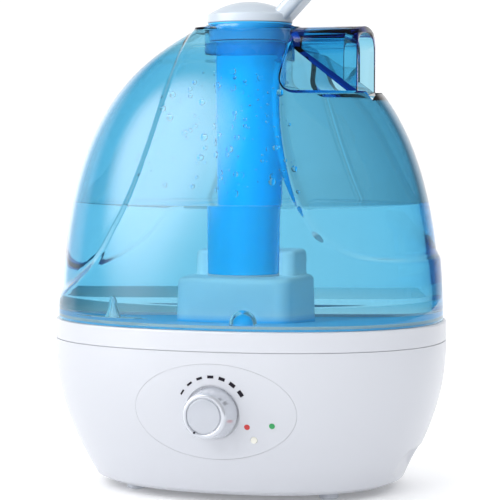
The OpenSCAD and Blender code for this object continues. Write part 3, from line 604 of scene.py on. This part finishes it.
def riser(name, wall, r, low, high):
    """The riser's outside, or its inside at a wall's thickness."""
    outline = round_rect(RISER[0] - 2 * wall, RISER[1] - 2 * wall, r)
    return moved(prism(name, outline, upright, low, high), 0, RISER_Y, 0)


def make_upper_housing():
    """The upper housing: a rim and a tray with the transducer's well, the sump and the air riser."""
    low = SEAM + 0.2
    rows = [r for r in base_profile() if r[2] > low + 0.4]
    first_a, first_d = rows[0][:2]
    top_a, top_d = rows[-1][:2]
    edge = 0.9
    rings = [ring(first_a - 0.25, first_d - 0.25, low, BASE_ANGLES),
             ring(first_a, first_d, low + 0.3, BASE_ANGLES)]
    rings += [ring(a, d, z, BASE_ANGLES) for a, d, z in rows if low + 0.6 < z < RIM - edge - 0.2]
    for t in np.radians([0, 22, 45, 67, 90]):
        let_in = edge - edge * math.cos(t)
        rings.append(ring(top_a - let_in, top_d - let_in, RIM - edge + edge * math.sin(t), BASE_ANGLES))
    body = loft("upper", rings)
    boolean(body, "UNION", plan_block("tray_wall", HALF_W - 0.2, TRAY - BASE_WALL, RIM - 2, 3.4))
    boolean(body, "DIFFERENCE", plan_block("tray", HALF_W - 0.2, TRAY, RIM + 5, TRAY_INSET))
    well_y, well_r, well_z = WELL
    sump_x, sump_r, sump_z = SUMP
    boolean(body, "UNION",
            rod("well", well_r + BASE_WALL, well_z - BASE_WALL, TRAY - 0.2, centre=(0, well_y)),
            rod("sump", sump_r + BASE_WALL, sump_z - BASE_WALL, TRAY - 0.2, centre=(sump_x, 0)),
            riser("riser", 0, 3, TRAY - 1, RISER[2]))
    boolean(body, "DIFFERENCE",
            pit("well_in", well_r, well_z, 0, well_y),
            rod("disc_hole", 8.5, well_z - 6, well_z + 1, centre=(0, well_y)),
            pit("sump_in", sump_r, sump_z, sump_x, 0),
            riser("riser_in", RISER_WALL, 2, TRAY - 5, RISER[2] + 5))
    place_piece(body, "rim_and_tray", "base", WHITE, ["upper_housing"])


# ---------- knob ----------

def make_knob():
    """The knob, and the disc let into its face."""
    sides, bore_r = 144, 3.02
    h, r = KNOB_H, KNOB_R
    skirt = [(11.6, 0.4), (r - 0.5, 0.4), (r - 0.1, 0.7), (r, 1.2), (r - 0.1, 1.8)]
    side = [(r - 0.25, 2.4), (r - 1.9, h - 2.4)]
    ring_edge = [(r - 2.0, h - 1.5), (r - 2.2, h - 0.75), (r - 2.7, h - 0.2), (r - 3.3, h)]
    lip = [(10.0, h), (9.7, h - 0.12), (9.45, h - 0.5), (9.35, h - 0.95)]
    body = revolve("knob", [(0, 3.2), (11.2, 3.2)] + skirt + side + ring_edge + lip + [(0, h - 0.95)], sides)
    boolean(body, "DIFFERENCE", rod("bore", bore_r, 2, h - 3, 48))
    disc = revolve("disc", [(0, h - 0.9), (8.75, h - 0.9), (8.9, h - 0.6), (8.85, h - 0.3), (8.6, h - 0.06),
                            (8.1, h + 0.02), (0, h + 0.12)], sides)
    for obj in (body, disc):
        facing_front(obj, *PANEL[:2], KNOB_BACK)
    place_piece(body, "knob_body", "knob", KNOB_SIDE, ["knob"], 28)
    place_piece(disc, "knob_disc", "knob", KNOB, ["knob_face"], 28)


# ---------- tank ----------

def band_edge(side):
    """The band's edge on one side, as points of x and z seen from the front."""
    top = [(BAND_CURVE[0][0], TANK_TOP + 20)]
    upper = bezier(BAND_CURVE, np.linspace(0, 1, 36))
    lower = bezier(BAND_END[side], np.linspace(0, 1, 22))[1:]
    return np.vstack([top, upper, lower, [(140, lower[-1][1])]])


def distance_in(x, z, edge):
    """How far points lie inside the band, which is below and within its edge. Outside is negative."""
    best = np.full(x.shape, 1e9)
    sign = np.ones(x.shape)
    for p, q in zip(edge[:-1], edge[1:]):
        d = q - p
        t = np.clip(((x - p[0]) * d[0] + (z - p[1]) * d[1]) / (d @ d), 0, 1)
        gap = np.hypot(x - p[0] - t * d[0], z - p[1] - t * d[1])
        side = np.sign(d[0] * (z - p[1]) - d[1] * (x - p[0]))
        closer = gap < best - 1e-9
        sign = np.where(closer, -side, sign)
        best = np.minimum(best, gap)
    return best * sign


def band_share(x, z):
    """1 on the raised band and skirt, 0 on the side lobes, with a smooth step between."""
    right, left = (distance_in(np.abs(x), z, band_edge(side)) for side in (1, -1))
    t = np.clip(np.where(x >= 0, right, left) / STEP_WIDTH + 0.5, 0, 1)
    return t * t * (3 - 2 * t)


def tank_columns(half_w, z):
    """Angles round the tank at one height, close together where they cross the band's edge."""
    quarters = {}
    for side in (1, -1):
        edge = band_edge(side)[1:-1][::-1]
        edge_x = min(np.interp(z, edge[:, 1], edge[:, 0]), half_w * 0.9)
        middle = math.acos(min(0.97, (edge_x / half_w) ** (PLAN_POWER / 2)))
        spread = min(0.14, 3.5 / (half_w * math.sin(middle)))
        quarters[side] = np.concatenate([
            np.linspace(0, middle - spread, 26, endpoint=False),
            np.linspace(middle - spread, middle + spread, 14, endpoint=False),
            np.linspace(middle + spread, math.pi / 2, 21)])
    right, left = quarters[1], math.pi - quarters[-1][::-1]
    return np.concatenate([right[:-1], left[:-1], TAU - left[::-1][:-1], TAU - right[::-1][:-1]])


def tank_rows():
    """Outline of the tank as (half width, z, outward slope in width and height)."""
    curve = bezier(TANK_CURVE, np.linspace(0, 1, 600))
    z = np.concatenate([np.linspace(TANK_EDGE, 101, 6, endpoint=False),
                        np.linspace(101, 134, 46, endpoint=False),
                        np.linspace(134, 235, 56, endpoint=False), np.linspace(235, TANK_TOP, 24)])
    a = np.interp(z, curve[:, 1], curve[:, 0])
    slope = np.gradient(curve, axis=0)
    slope /= np.linalg.norm(slope, axis=1)[:, None]
    out_w, out_z = np.interp(z, curve[:, 1], slope[:, 1]), -np.interp(z, curve[:, 1], slope[:, 0])
    return np.stack([a, z, out_w, out_z], 1)


def tank_form(name, wall, low, high):
    """The tank's outside, or its inside at a wall's thickness, with the step of the middle band."""
    rings = []
    for a, z, out_w, out_z in tank_rows():
        swell = np.clip((z - THICK_FROM) / THICK_FADE, 0, 1) * np.clip((THICK_TO - z) / THICK_FADE, 0, 1)
        thick = wall * (1 + WALL_SWELL * swell)
        half_w, half_d, height = a - thick * out_w, a * DEPTH_RATIO - thick * out_w, z - thick * out_z
        angles = tank_columns(a, z)
        x, y = plan(half_w, half_d, angles)
        down = LOBE_STEP * (1 - band_share(x, np.full_like(x, z)))
        x, y = plan(half_w - down, half_d - down, angles)
        rings.append((height, np.stack([x, y, np.full_like(x, height)], 1)))
    rings = [r for h, r in rings if low + 0.25 < h < high - 0.25]
    first, last = rings[0].copy(), rings[-1].copy()
    first[:, 2], last[:, 2] = low, high
    return loft(name, [first] + rings + [last])


def shoulder(name, grow):
    """What is cut from the tank under the handle's end: a finger's room with a round foot."""
    x, z, r = HANDLE_X - grow, SHOULDER - grow, SHOULDER_R + grow
    outline = arc(HANDLE_X + SHOULDER_R, SHOULDER + SHOULDER_R, r, 180, 270, 14)
    outline += [(150, z), (150, 300), (x, 300)]
    return prism(name, outline, along_y, -110, 110)


def handle_outline(inset, bottom):
    """The handle's section in y and z: upright sides, round top edges and a crowned top."""
    half, crown = HANDLE_W / 2, 62.0
    edge_r, top = 9.0, TANK_TOP - 1.8
    y = half * np.sin(np.linspace(-math.pi / 2, math.pi / 2, 61))
    past = np.maximum(np.abs(y) - half + edge_r, 0)
    corner = top - edge_r + np.sqrt(np.maximum(edge_r ** 2 - past ** 2, 0))
    crowned = TANK_TOP - crown + np.sqrt(crown ** 2 - y ** 2)
    z = np.minimum(np.where(np.abs(y) > half - edge_r, corner, crowned), crowned)
    k = (half - inset) / half
    over = [(v * k, w - inset) for v, w in zip(y[::-1], z[::-1])]
    return [(half - inset, bottom)] + over + [(inset - half, bottom)]


def handle_prism(name, inset, bottom, stations):
    """The handle's section run along x. stations are (x, extra inset)."""
    return loft(name, [np.array([(x, u, v) for u, v in handle_outline(inset + extra, bottom)])
                       for x, extra in stations])


def tank_cavity(name, wall):
    """The room inside the tank, with the wedge under the finger pocket."""
    room = tank_form(name, wall, TANK_EDGE - 1.4, TANK_TOP - TANK_WALL)
    boolean(room, "DIFFERENCE", shoulder("shoulder_in", TANK_WALL))
    wedge_outline = [(25, SHOULDER - 2.7), (HANDLE_END - 2.2, SHOULDER - 2.7), (HANDLE_X, 242.4), (25, 246.9)]
    half = HANDLE_W / 2 - TANK_WALL
    wedge = prism("wedge", wedge_outline, along_y, -half, half)
    return boolean(room, "UNION", wedge)


def make_tank_shell():
    """The tank: walls, handle with its open end, neck and collar in one clear moulding."""
    shell = tank_form("shell", 0.0, TANK_EDGE, TANK_TOP)
    boolean(shell, "DIFFERENCE", shoulder("shoulder_cut", 0.0))
    edge = 0.45
    end = HANDLE_END
    boolean(shell, "UNION", handle_prism("handle", 0.0, SHOULDER - 1.2, [
        (HANDLE_X - 3, 0), (end - edge, 0), (end - edge * 0.3, edge * 0.3), (end, edge)]))
    room = tank_cavity("room", TANK_WALL)
    boolean(room, "DIFFERENCE", revolve("collar_keep", [
        (0, COLLAR_LOW), (COLLAR_R + 1.6, COLLAR_LOW), (COLLAR_R + 2.2, COLLAR_LOW + 0.6),
        (COLLAR_R + 2.2, 300), (0, 300)], ROUND))
    boolean(shell, "DIFFERENCE", room)
    boolean(shell, "UNION", revolve("bead", [
        (COLLAR_R - 1, TANK_TOP - 2), (COLLAR_R + 2, TANK_TOP - 2), (COLLAR_R + 2, COLLAR_TOP - 0.7),
        (COLLAR_R + 1.7, COLLAR_TOP - 0.2), (COLLAR_R + 1.1, COLLAR_TOP), (COLLAR_R - 1, COLLAR_TOP)], ROUND))
    inner = 3.6
    pocket = handle_prism("pocket", inner, SHOULDER - 6, [
        (HANDLE_X + inner, HANDLE_PAD), (PAD_END - 0.4, HANDLE_PAD), (PAD_END, 0), (end - edge, 0),
        (end - edge * 0.3, -edge * 0.3), (end, -edge), (end + 8, -edge)])
    slope = prism("slope", [(HANDLE_X - 8, 251), (HANDLE_X, 245), (HANDLE_END, SHOULDER + 0.2),
                            (HANDLE_END + 20, SHOULDER - 14), (HANDLE_END + 20, 300), (HANDLE_X - 8, 300)],
                  along_y, -50, 50)
    boolean(pocket, "INTERSECT", slope)
    boolean(shell, "DIFFERENCE", pocket, revolve("bore", [
        (0, 200), (LIP_R, 200), (LIP_R, LIP_Z), (COLLAR_R, LIP_Z), (COLLAR_R, COLLAR_TOP - 0.7),
        (COLLAR_R + 0.5, 300), (0, 300)], ROUND))
    place_piece(shell, "tank_body", "tank", TANK_BLUE, ["tank_shell", "tank_collar"], 35)


def soft_block(name, width, depth, low, high, r_side, r_top, y=0.0, draft=0.0):
    """An upright block with round corners, a round top edge and sides that lean in by draft."""
    rings = []
    for h, inset in [(low, 0.0), (high - r_top, draft)] + [
            (high - r_top + r_top * math.sin(t), draft + r_top * (1 - math.cos(t)))
            for t in np.radians([22, 45, 67, 90])]:
        outline = round_rect(width - 2 * inset, depth - 2 * inset, max(r_side - inset, 0.5))
        rings.append(np.array([(u, v + y, h) for u, v in outline]))
    return loft(name, rings)


def boss(name, grow):
    """The two steps that stand over the mist chamber."""
    front_w, front_d, front_z = BOSS_FRONT
    rear_w, rear_d, rear_z = BOSS_REAR
    front = soft_block(name, front_w + 2 * grow, front_d + 2 * grow, RIM - 3, front_z + grow, 10, 3, 0, 0.8)
    rear = soft_block("rear", rear_w + 2 * grow, rear_d + 2 * grow, RIM, rear_z + grow,
                      6, 2.5, rear_d / 2, 0.5)
    boolean(rear, "DIFFERENCE", rod("tube_room", TUBE_R + 0.5 - grow, front_z - 1, 300))
    return boolean(front, "UNION", rear)


def make_tank_floor():
    """The tank's floor, with the rim that sits in the tray, the cap's neck and the hollow boss."""
    cap_at, neck_r, neck_z, boss_wall = (SUMP[0], 0), 20.5, 80.4, 2.8
    front_w, front_d, front_z = BOSS_FRONT
    rear_w, rear_d, rear_z = BOSS_REAR
    floor_z = RIM + 1.2
    floor = plan_block("floor", HALF_W - 1.5, TANK_EDGE, floor_z, TANK_WALL + 0.3)
    boolean(floor, "UNION", plan_block("under", HALF_W - 0.2, RIM - 3, TANK_EDGE + 0.1, TRAY_INSET + 0.3))
    boolean(floor, "UNION", rod("neck", neck_r, neck_z, floor_z - 0.3, centre=cap_at), boss("boss", 0.0))
    hollow = plan_block("hollow", HALF_W - 0.2, RIM - 5, RIM - 1.2, TRAY_INSET + 2.7)
    boolean(hollow, "DIFFERENCE", rod("neck_keep", neck_r, 70, 120, centre=cap_at))
    boolean(floor, "DIFFERENCE", hollow,
            soft_block("boss_in", front_w - 2 * boss_wall, front_d - 2 * boss_wall, 80, front_z - 2, 7, 1.5))
    rear_in = soft_block("rear_in", rear_w - 4.6, rear_d - 4.6, 80, rear_z - 2, 4, 1.5, rear_d / 2)
    boolean(rear_in, "DIFFERENCE", rod("tube_keep", TUBE_R + 2.5, 70, 200))
    boolean(floor, "DIFFERENCE", rear_in, rod("tube_hole", 15.4, 70, 200),
            rod("neck_bore", 17.5, 70, 200, centre=cap_at), rod("float_hole", 6.3, 85, 100, centre=FLOAT_AT))
    place_piece(floor, "tank_floor", "tank", TANK_FLOOR_PAINTED_LIGHT, ["tank_bottom"])


def tube_r(z):
    """The mist tube's radius, which grows from its foot to the collar."""
    return TUBE_R + (TUBE_TOP_R - TUBE_R) * (z - TUBE_FOOT) / (COLLAR_LOW - TUBE_FOOT)


def make_mist_tube():
    wall, flange_t, lip = 1.8, 1.3, LIP_Z + 0.1
    outer = [(TUBE_R - 0.3, TUBE_FOOT), (TUBE_R, TUBE_FOOT + 0.4)]
    outer += [(tube_r(z), z) for z in np.linspace(TUBE_FOOT, COLLAR_LOW, 31)[1:]]
    flange = [(TUBE_TOP_R, lip), (COLLAR_R - 0.4, lip), (COLLAR_R - 0.4, lip + flange_t),
              (TUBE_TOP_R - wall, lip + flange_t)]
    inner = [(r - wall, z) for r, z in outer[::-1]]
    tube = revolve("tube", outer + flange + inner, ROUND, closed=True)
    place_piece(tube, "mist_tube_clear", "tank", TUBE_BLUE, ["mist_tube"])


def make_water():
    """The water, less all that stands in it: the boss, the tube, the float's dome and the valve."""
    gap, r, top = -WATER_OVERLAP, TUBE_R - WATER_OVERLAP, WATER_LEVEL + 2
    foot, dome_r, dome_z = BOSS_FRONT[2] - 5, 7.2, 96.2
    dome = [(dome_r * math.cos(t), dome_z + dome_r * math.sin(t)) for t in np.radians([0, 20, 40, 60, 80])]
    water = tank_form("water", TANK_WALL + gap, RIM + 1.2 + gap, WATER_LEVEL)
    boolean(water, "DIFFERENCE", boss("boss", gap),
            revolve("tube", [(0, foot), (r, foot), (r, TUBE_FOOT), (r + 0.55, top), (0, top)], ROUND),
            revolve("dome", [(0, 90), (dome_r, 90)] + dome + [(0, 103.5)], 64, centre=FLOAT_AT),
            revolve("valve", [(0, 90), (14, 90), (14, 94.8), (3.8, 95.2), (0.9, 104.4), (0, 104.6)], 64,
                    centre=(SUMP[0], 0)))
    place_piece(water, "water_in_tank", "tank", WATER)


def bead_mesh(centres, normals, sizes, name):
    """Flattened drops sitting just off a surface."""
    verts, faces = [], []
    rows, cols = 5, 10
    for c, n, s in zip(centres, normals, sizes):
        n = Vector(n).normalized()
        u = n.orthogonal().normalized()
        v = n.cross(u)
        start = len(verts)
        for i in range(rows + 1):
            t = math.pi * i / rows
            for k in range(cols):
                b = TAU * k / cols
                flat = s * math.sin(t)
                verts.append(Vector(c) + n * (0.55 * s * (1 - math.cos(t)) + 0.08)
                             + u * flat * math.cos(b) + v * flat * math.sin(b))
        for i in range(rows):
            for k in range(cols):
                a, b = start + i * cols + k, start + i * cols + (k + 1) % cols
                faces.append((a, b, b + cols, a + cols))
    return outward(add_object(name, [tuple(v) for v in verts], faces))


def make_beads():
    """Drops on the mist tube and inside the tank's front wall, seeded so that they are the same each time."""
    rng = np.random.default_rng(7)
    centres, normals, sizes = [], [], []
    for _ in range(150):
        angle = rng.uniform(0, TAU)
        z = rng.uniform(WATER_LEVEL + 4, COLLAR_LOW - 6)
        centres.append((tube_r(z) * math.cos(angle), tube_r(z) * math.sin(angle), z))
        normals.append((math.cos(angle), math.sin(angle), 0))
        sizes.append(0.45 + 1.9 * rng.uniform() ** 2.5)
    place_piece(bead_mesh(centres, normals, sizes, "beads"), "tube_drops", "tank", BEAD)
    centres, normals, sizes = [], [], []
    curve = bezier(TANK_CURVE, np.linspace(0, 1, 200))
    for _ in range(110):
        z = rng.uniform(WATER_LEVEL + 6, COLLAR_LOW - 8)
        half_w = np.interp(z, curve[:, 1], curve[:, 0]) - TANK_WALL * 1.85
        angle = math.radians(rng.uniform(-118, -62))
        x, y = plan(half_w, half_w * DEPTH_RATIO - 0.7, np.array([angle]))
        centres.append((x[0], y[0], z))
        normals.append((-math.cos(angle), -math.sin(angle) / DEPTH_RATIO, -0.25))
        sizes.append(0.4 + 1.9 * rng.uniform() ** 2.5)
    place_piece(bead_mesh(centres, normals, sizes, "wall_beads"), "wall_drops", "tank", BEAD)


# ---------- nozzle ----------

def dome_profile(inset, edge_r):
    base_z, band, dome = NOZZLE_Z, 5.0, 7.0
    r = NOZZLE_R - inset
    sphere_r = ((NOZZLE_R - 1) ** 2 + dome ** 2) / (2 * dome) - inset
    centre_z = base_z + band + dome - sphere_r - inset
    edge = arc(r - edge_r, base_z + band - edge_r, edge_r, 0, 70, 6)
    start = math.degrees(math.acos((r - 1) / sphere_r))
    return edge, arc(0, centre_z, sphere_r, start, 90, 24)


def spout_block(name, width, thick, length, r):
    """A flat block that leans back to the right, out of the dome."""
    tilt, foot_x, foot_rise = 46.0, 20.6, 5.4
    block = prism(name, round_rect(thick, width, r, 6), upright, -20, length)
    turn = Matrix.Rotation(math.radians(90 - tilt), 4, "Y")
    return transform(block, Matrix.Translation(Vector((foot_x, 0, NOZZLE_Z + foot_rise)) * MM) @ turn)


def right_part(block, low, high):
    """What lies right of the dome's middle, between two heights."""
    keep = prism("keep", [(2, -40), (90, -40), (90, 40), (2, 40)], upright, low, high)
    return boolean(block, "INTERSECT", keep)


def make_nozzle():
    """The nozzle: a hollow dome with a slanted spout, and a plug that turns in the collar."""
    z, wall, plug_in, plug_out, plug_foot = NOZZLE_Z, 1.6, 18.8, 20.54, NOZZLE_Z - 8
    edge, top = dome_profile(0.0, 1.0)
    foot = [(0, z), (NOZZLE_R - 0.3, z), (NOZZLE_R, z + 0.4)]
    head = revolve("head", foot + edge + top, ROUND)
    boolean(head, "UNION", right_part(spout_block("spout", 20, 8.5, 42, 3.4), z, 280))
    edge_in, top_in = dome_profile(wall, 0.6)
    foot_in = [(0, z - 1), (NOZZLE_R - wall, z - 1)]
    boolean(head, "DIFFERENCE", revolve("room", foot_in + edge_in + top_in, 120),
            right_part(spout_block("duct", 17, 5.5, 60, 2), z + 1.4, 320))
    boolean(head, "UNION", revolve("plug", [
        (plug_in, plug_foot), (plug_out - 0.24, plug_foot), (plug_out, plug_foot + 0.4), (plug_out, z),
        (NOZZLE_R - 1, z), (NOZZLE_R - 1, z + 1.2), (plug_in, z + 1.2)], 120, closed=True))
    place_piece(head, "nozzle_top", "nozzle", NOZZLE_PAINTED_SHADE, ["nozzle_head"], 28)


dress_cad_nodes()
make_lower_housing()
make_control_panel()
make_scale()
make_upper_housing()
make_knob()
make_tank_shell()
make_tank_floor()
make_mist_tube()
make_water()
make_beads()
make_nozzle()


# ---------- studio ----------

ROOM_WHITE = 1.1
# Each room: its level, then glows as a direction, the cosines where the glow starts and is full, and strength
ROOM_LIGHT = (1.2, [((-0.62, -0.72, 0.32), 0.4, 1.0, 0.3), ((0.8, -0.6, 0.1), 0.2, 1.0, -0.4),
                    ((0.0, 0.0, 1.0), 0.4, 1.0, 0.1)])
ROOM_MIRRORED = (1.1, [((0.29, -0.96, 0.0), -0.98, -0.72, -0.98), ((-0.66, -0.56, 0.5), 0.78, 0.99, 7.0),
                       ((-0.83, 0.55, 0.05), 0.86, 0.98, 1.0)])
ROOM_THROUGH = (1.02, [((0.957, 0.291, 0.0), -0.12, 0.2, -0.42), ((0.957, 0.291, 0.0), 0.2, 0.6, -0.22)])


def make_floor():
    """White paper, faintly bright of itself, with its edge behind the base for the camera."""
    radius = 1600
    edge = [(radius * math.cos(t), radius * math.sin(t), -0.05) for t in even_angles(64)]
    floor = add_object("studio_floor", edge, [tuple(range(64))])
    paper = solid("studio_floor", (0.95, 0.95, 0.955), 0.7, 0.005, 0.01, 0.0)
    shader = paper.node_tree.nodes["Principled BSDF"]
    shader.inputs["Emission Color"].default_value = (1, 1, 1, 1)
    shader.inputs["Emission Strength"].default_value = 0.12
    floor.data.materials.append(paper)


def make_world():
    """A white room. Straight at the camera it is plain white; what lights, reflects and shines through has
    its own brightness by direction."""
    world = bpy.data.worlds.new("studio")
    bpy.context.scene.world = world
    world.use_nodes = True
    nodes, links = world.node_tree.nodes, world.node_tree.links
    nodes.clear()
    place = nodes.new("ShaderNodeTexCoord")
    path = nodes.new("ShaderNodeLightPath")

    def brightness(level, glows):
        for toward, start, full, strength in glows:
            aim = add(nodes, "ShaderNodeVectorMath", operation="DOT_PRODUCT")
            aim.inputs[1].default_value = Vector(toward).normalized()
            links.new(place.outputs["Generated"], aim.inputs[0])
            glow = add(nodes, "ShaderNodeMapRange", interpolation_type="SMOOTHERSTEP")
            glow.inputs["From Min"].default_value, glow.inputs["From Max"].default_value = start, full
            glow.inputs["To Min"].default_value, glow.inputs["To Max"].default_value = 0.0, strength
            links.new(aim.outputs["Value"], glow.inputs["Value"])
            both = add(nodes, "ShaderNodeMath", operation="ADD")
            links.new(glow.outputs["Result"], both.inputs[0])
            if isinstance(level, float):
                both.inputs[1].default_value = level
            else:
                links.new(level, both.inputs[1])
            level = both.outputs["Value"]
        return level

    seen = brightness(*ROOM_LIGHT)
    for ray, room in (("Is Glossy Ray", ROOM_MIRRORED), ("Is Transmission Ray", ROOM_THROUGH),
                      ("Is Camera Ray", None)):
        pick = add(nodes, "ShaderNodeMix", data_type="FLOAT")
        links.new(path.outputs[ray], pick.inputs["Factor"])
        links.new(seen, pick.inputs["A"])
        if room:
            links.new(brightness(*room), pick.inputs["B"])
        else:
            pick.inputs["B"].default_value = ROOM_WHITE
        seen = pick.outputs["Result"]
    back = nodes.new("ShaderNodeBackground")
    back.inputs["Color"].default_value = (0.985, 0.99, 1.0, 1)
    links.new(seen, back.inputs["Strength"])
    out = nodes.new("ShaderNodeOutputWorld")
    links.new(back.outputs["Background"], out.inputs["Surface"])


def add_softbox(name, place, aim, width, height, power, spread=180):
    """An area light in metres, watts and degrees."""
    light = bpy.data.lights.new(name, "AREA")
    light.shape, light.size, light.size_y = "RECTANGLE", width, height
    light.energy, light.spread = power, math.radians(spread)
    lamp = bpy.data.objects.new(name, light)
    lamp.visible_glossy = False
    lamp.visible_transmission = False
    lamp.location = place
    lamp.rotation_euler = (Vector(aim) - Vector(place)).to_track_quat("-Z", "Y").to_euler()
    bpy.context.scene.collection.objects.link(lamp)


def make_camera():
    """The camera, a little right of the front and looking down a little."""
    azimuth, distance, height = math.radians(16.9), 1.054, 0.191
    data = bpy.data.cameras.new("camera")
    data.sensor_width, data.lens = 36.0, 135.4
    cam = bpy.data.objects.new("camera", data)
    cam.location = (distance * math.sin(azimuth), -distance * math.cos(azimuth), height)
    cam.rotation_euler = (math.radians(90 - 3.25), 0, azimuth)
    bpy.context.scene.collection.objects.link(cam)
    bpy.context.scene.camera = cam


make_floor()
make_world()
add_softbox("left_box", (-1.1, -0.8, 1.0), (0, 0, 0.15), 0.6, 0.9, 2.0)
add_softbox("tank_box", (-0.25, -1.0, 0.62), (0, 0, 0.2), 0.15, 0.15, 0.12, spread=20)
make_camera()

scene = bpy.context.scene
scene.view_settings.view_transform = "Standard"
scene.cycles.max_bounces = 32
scene.cycles.transmission_bounces = 28
scene.cycles.transparent_max_bounces = 32
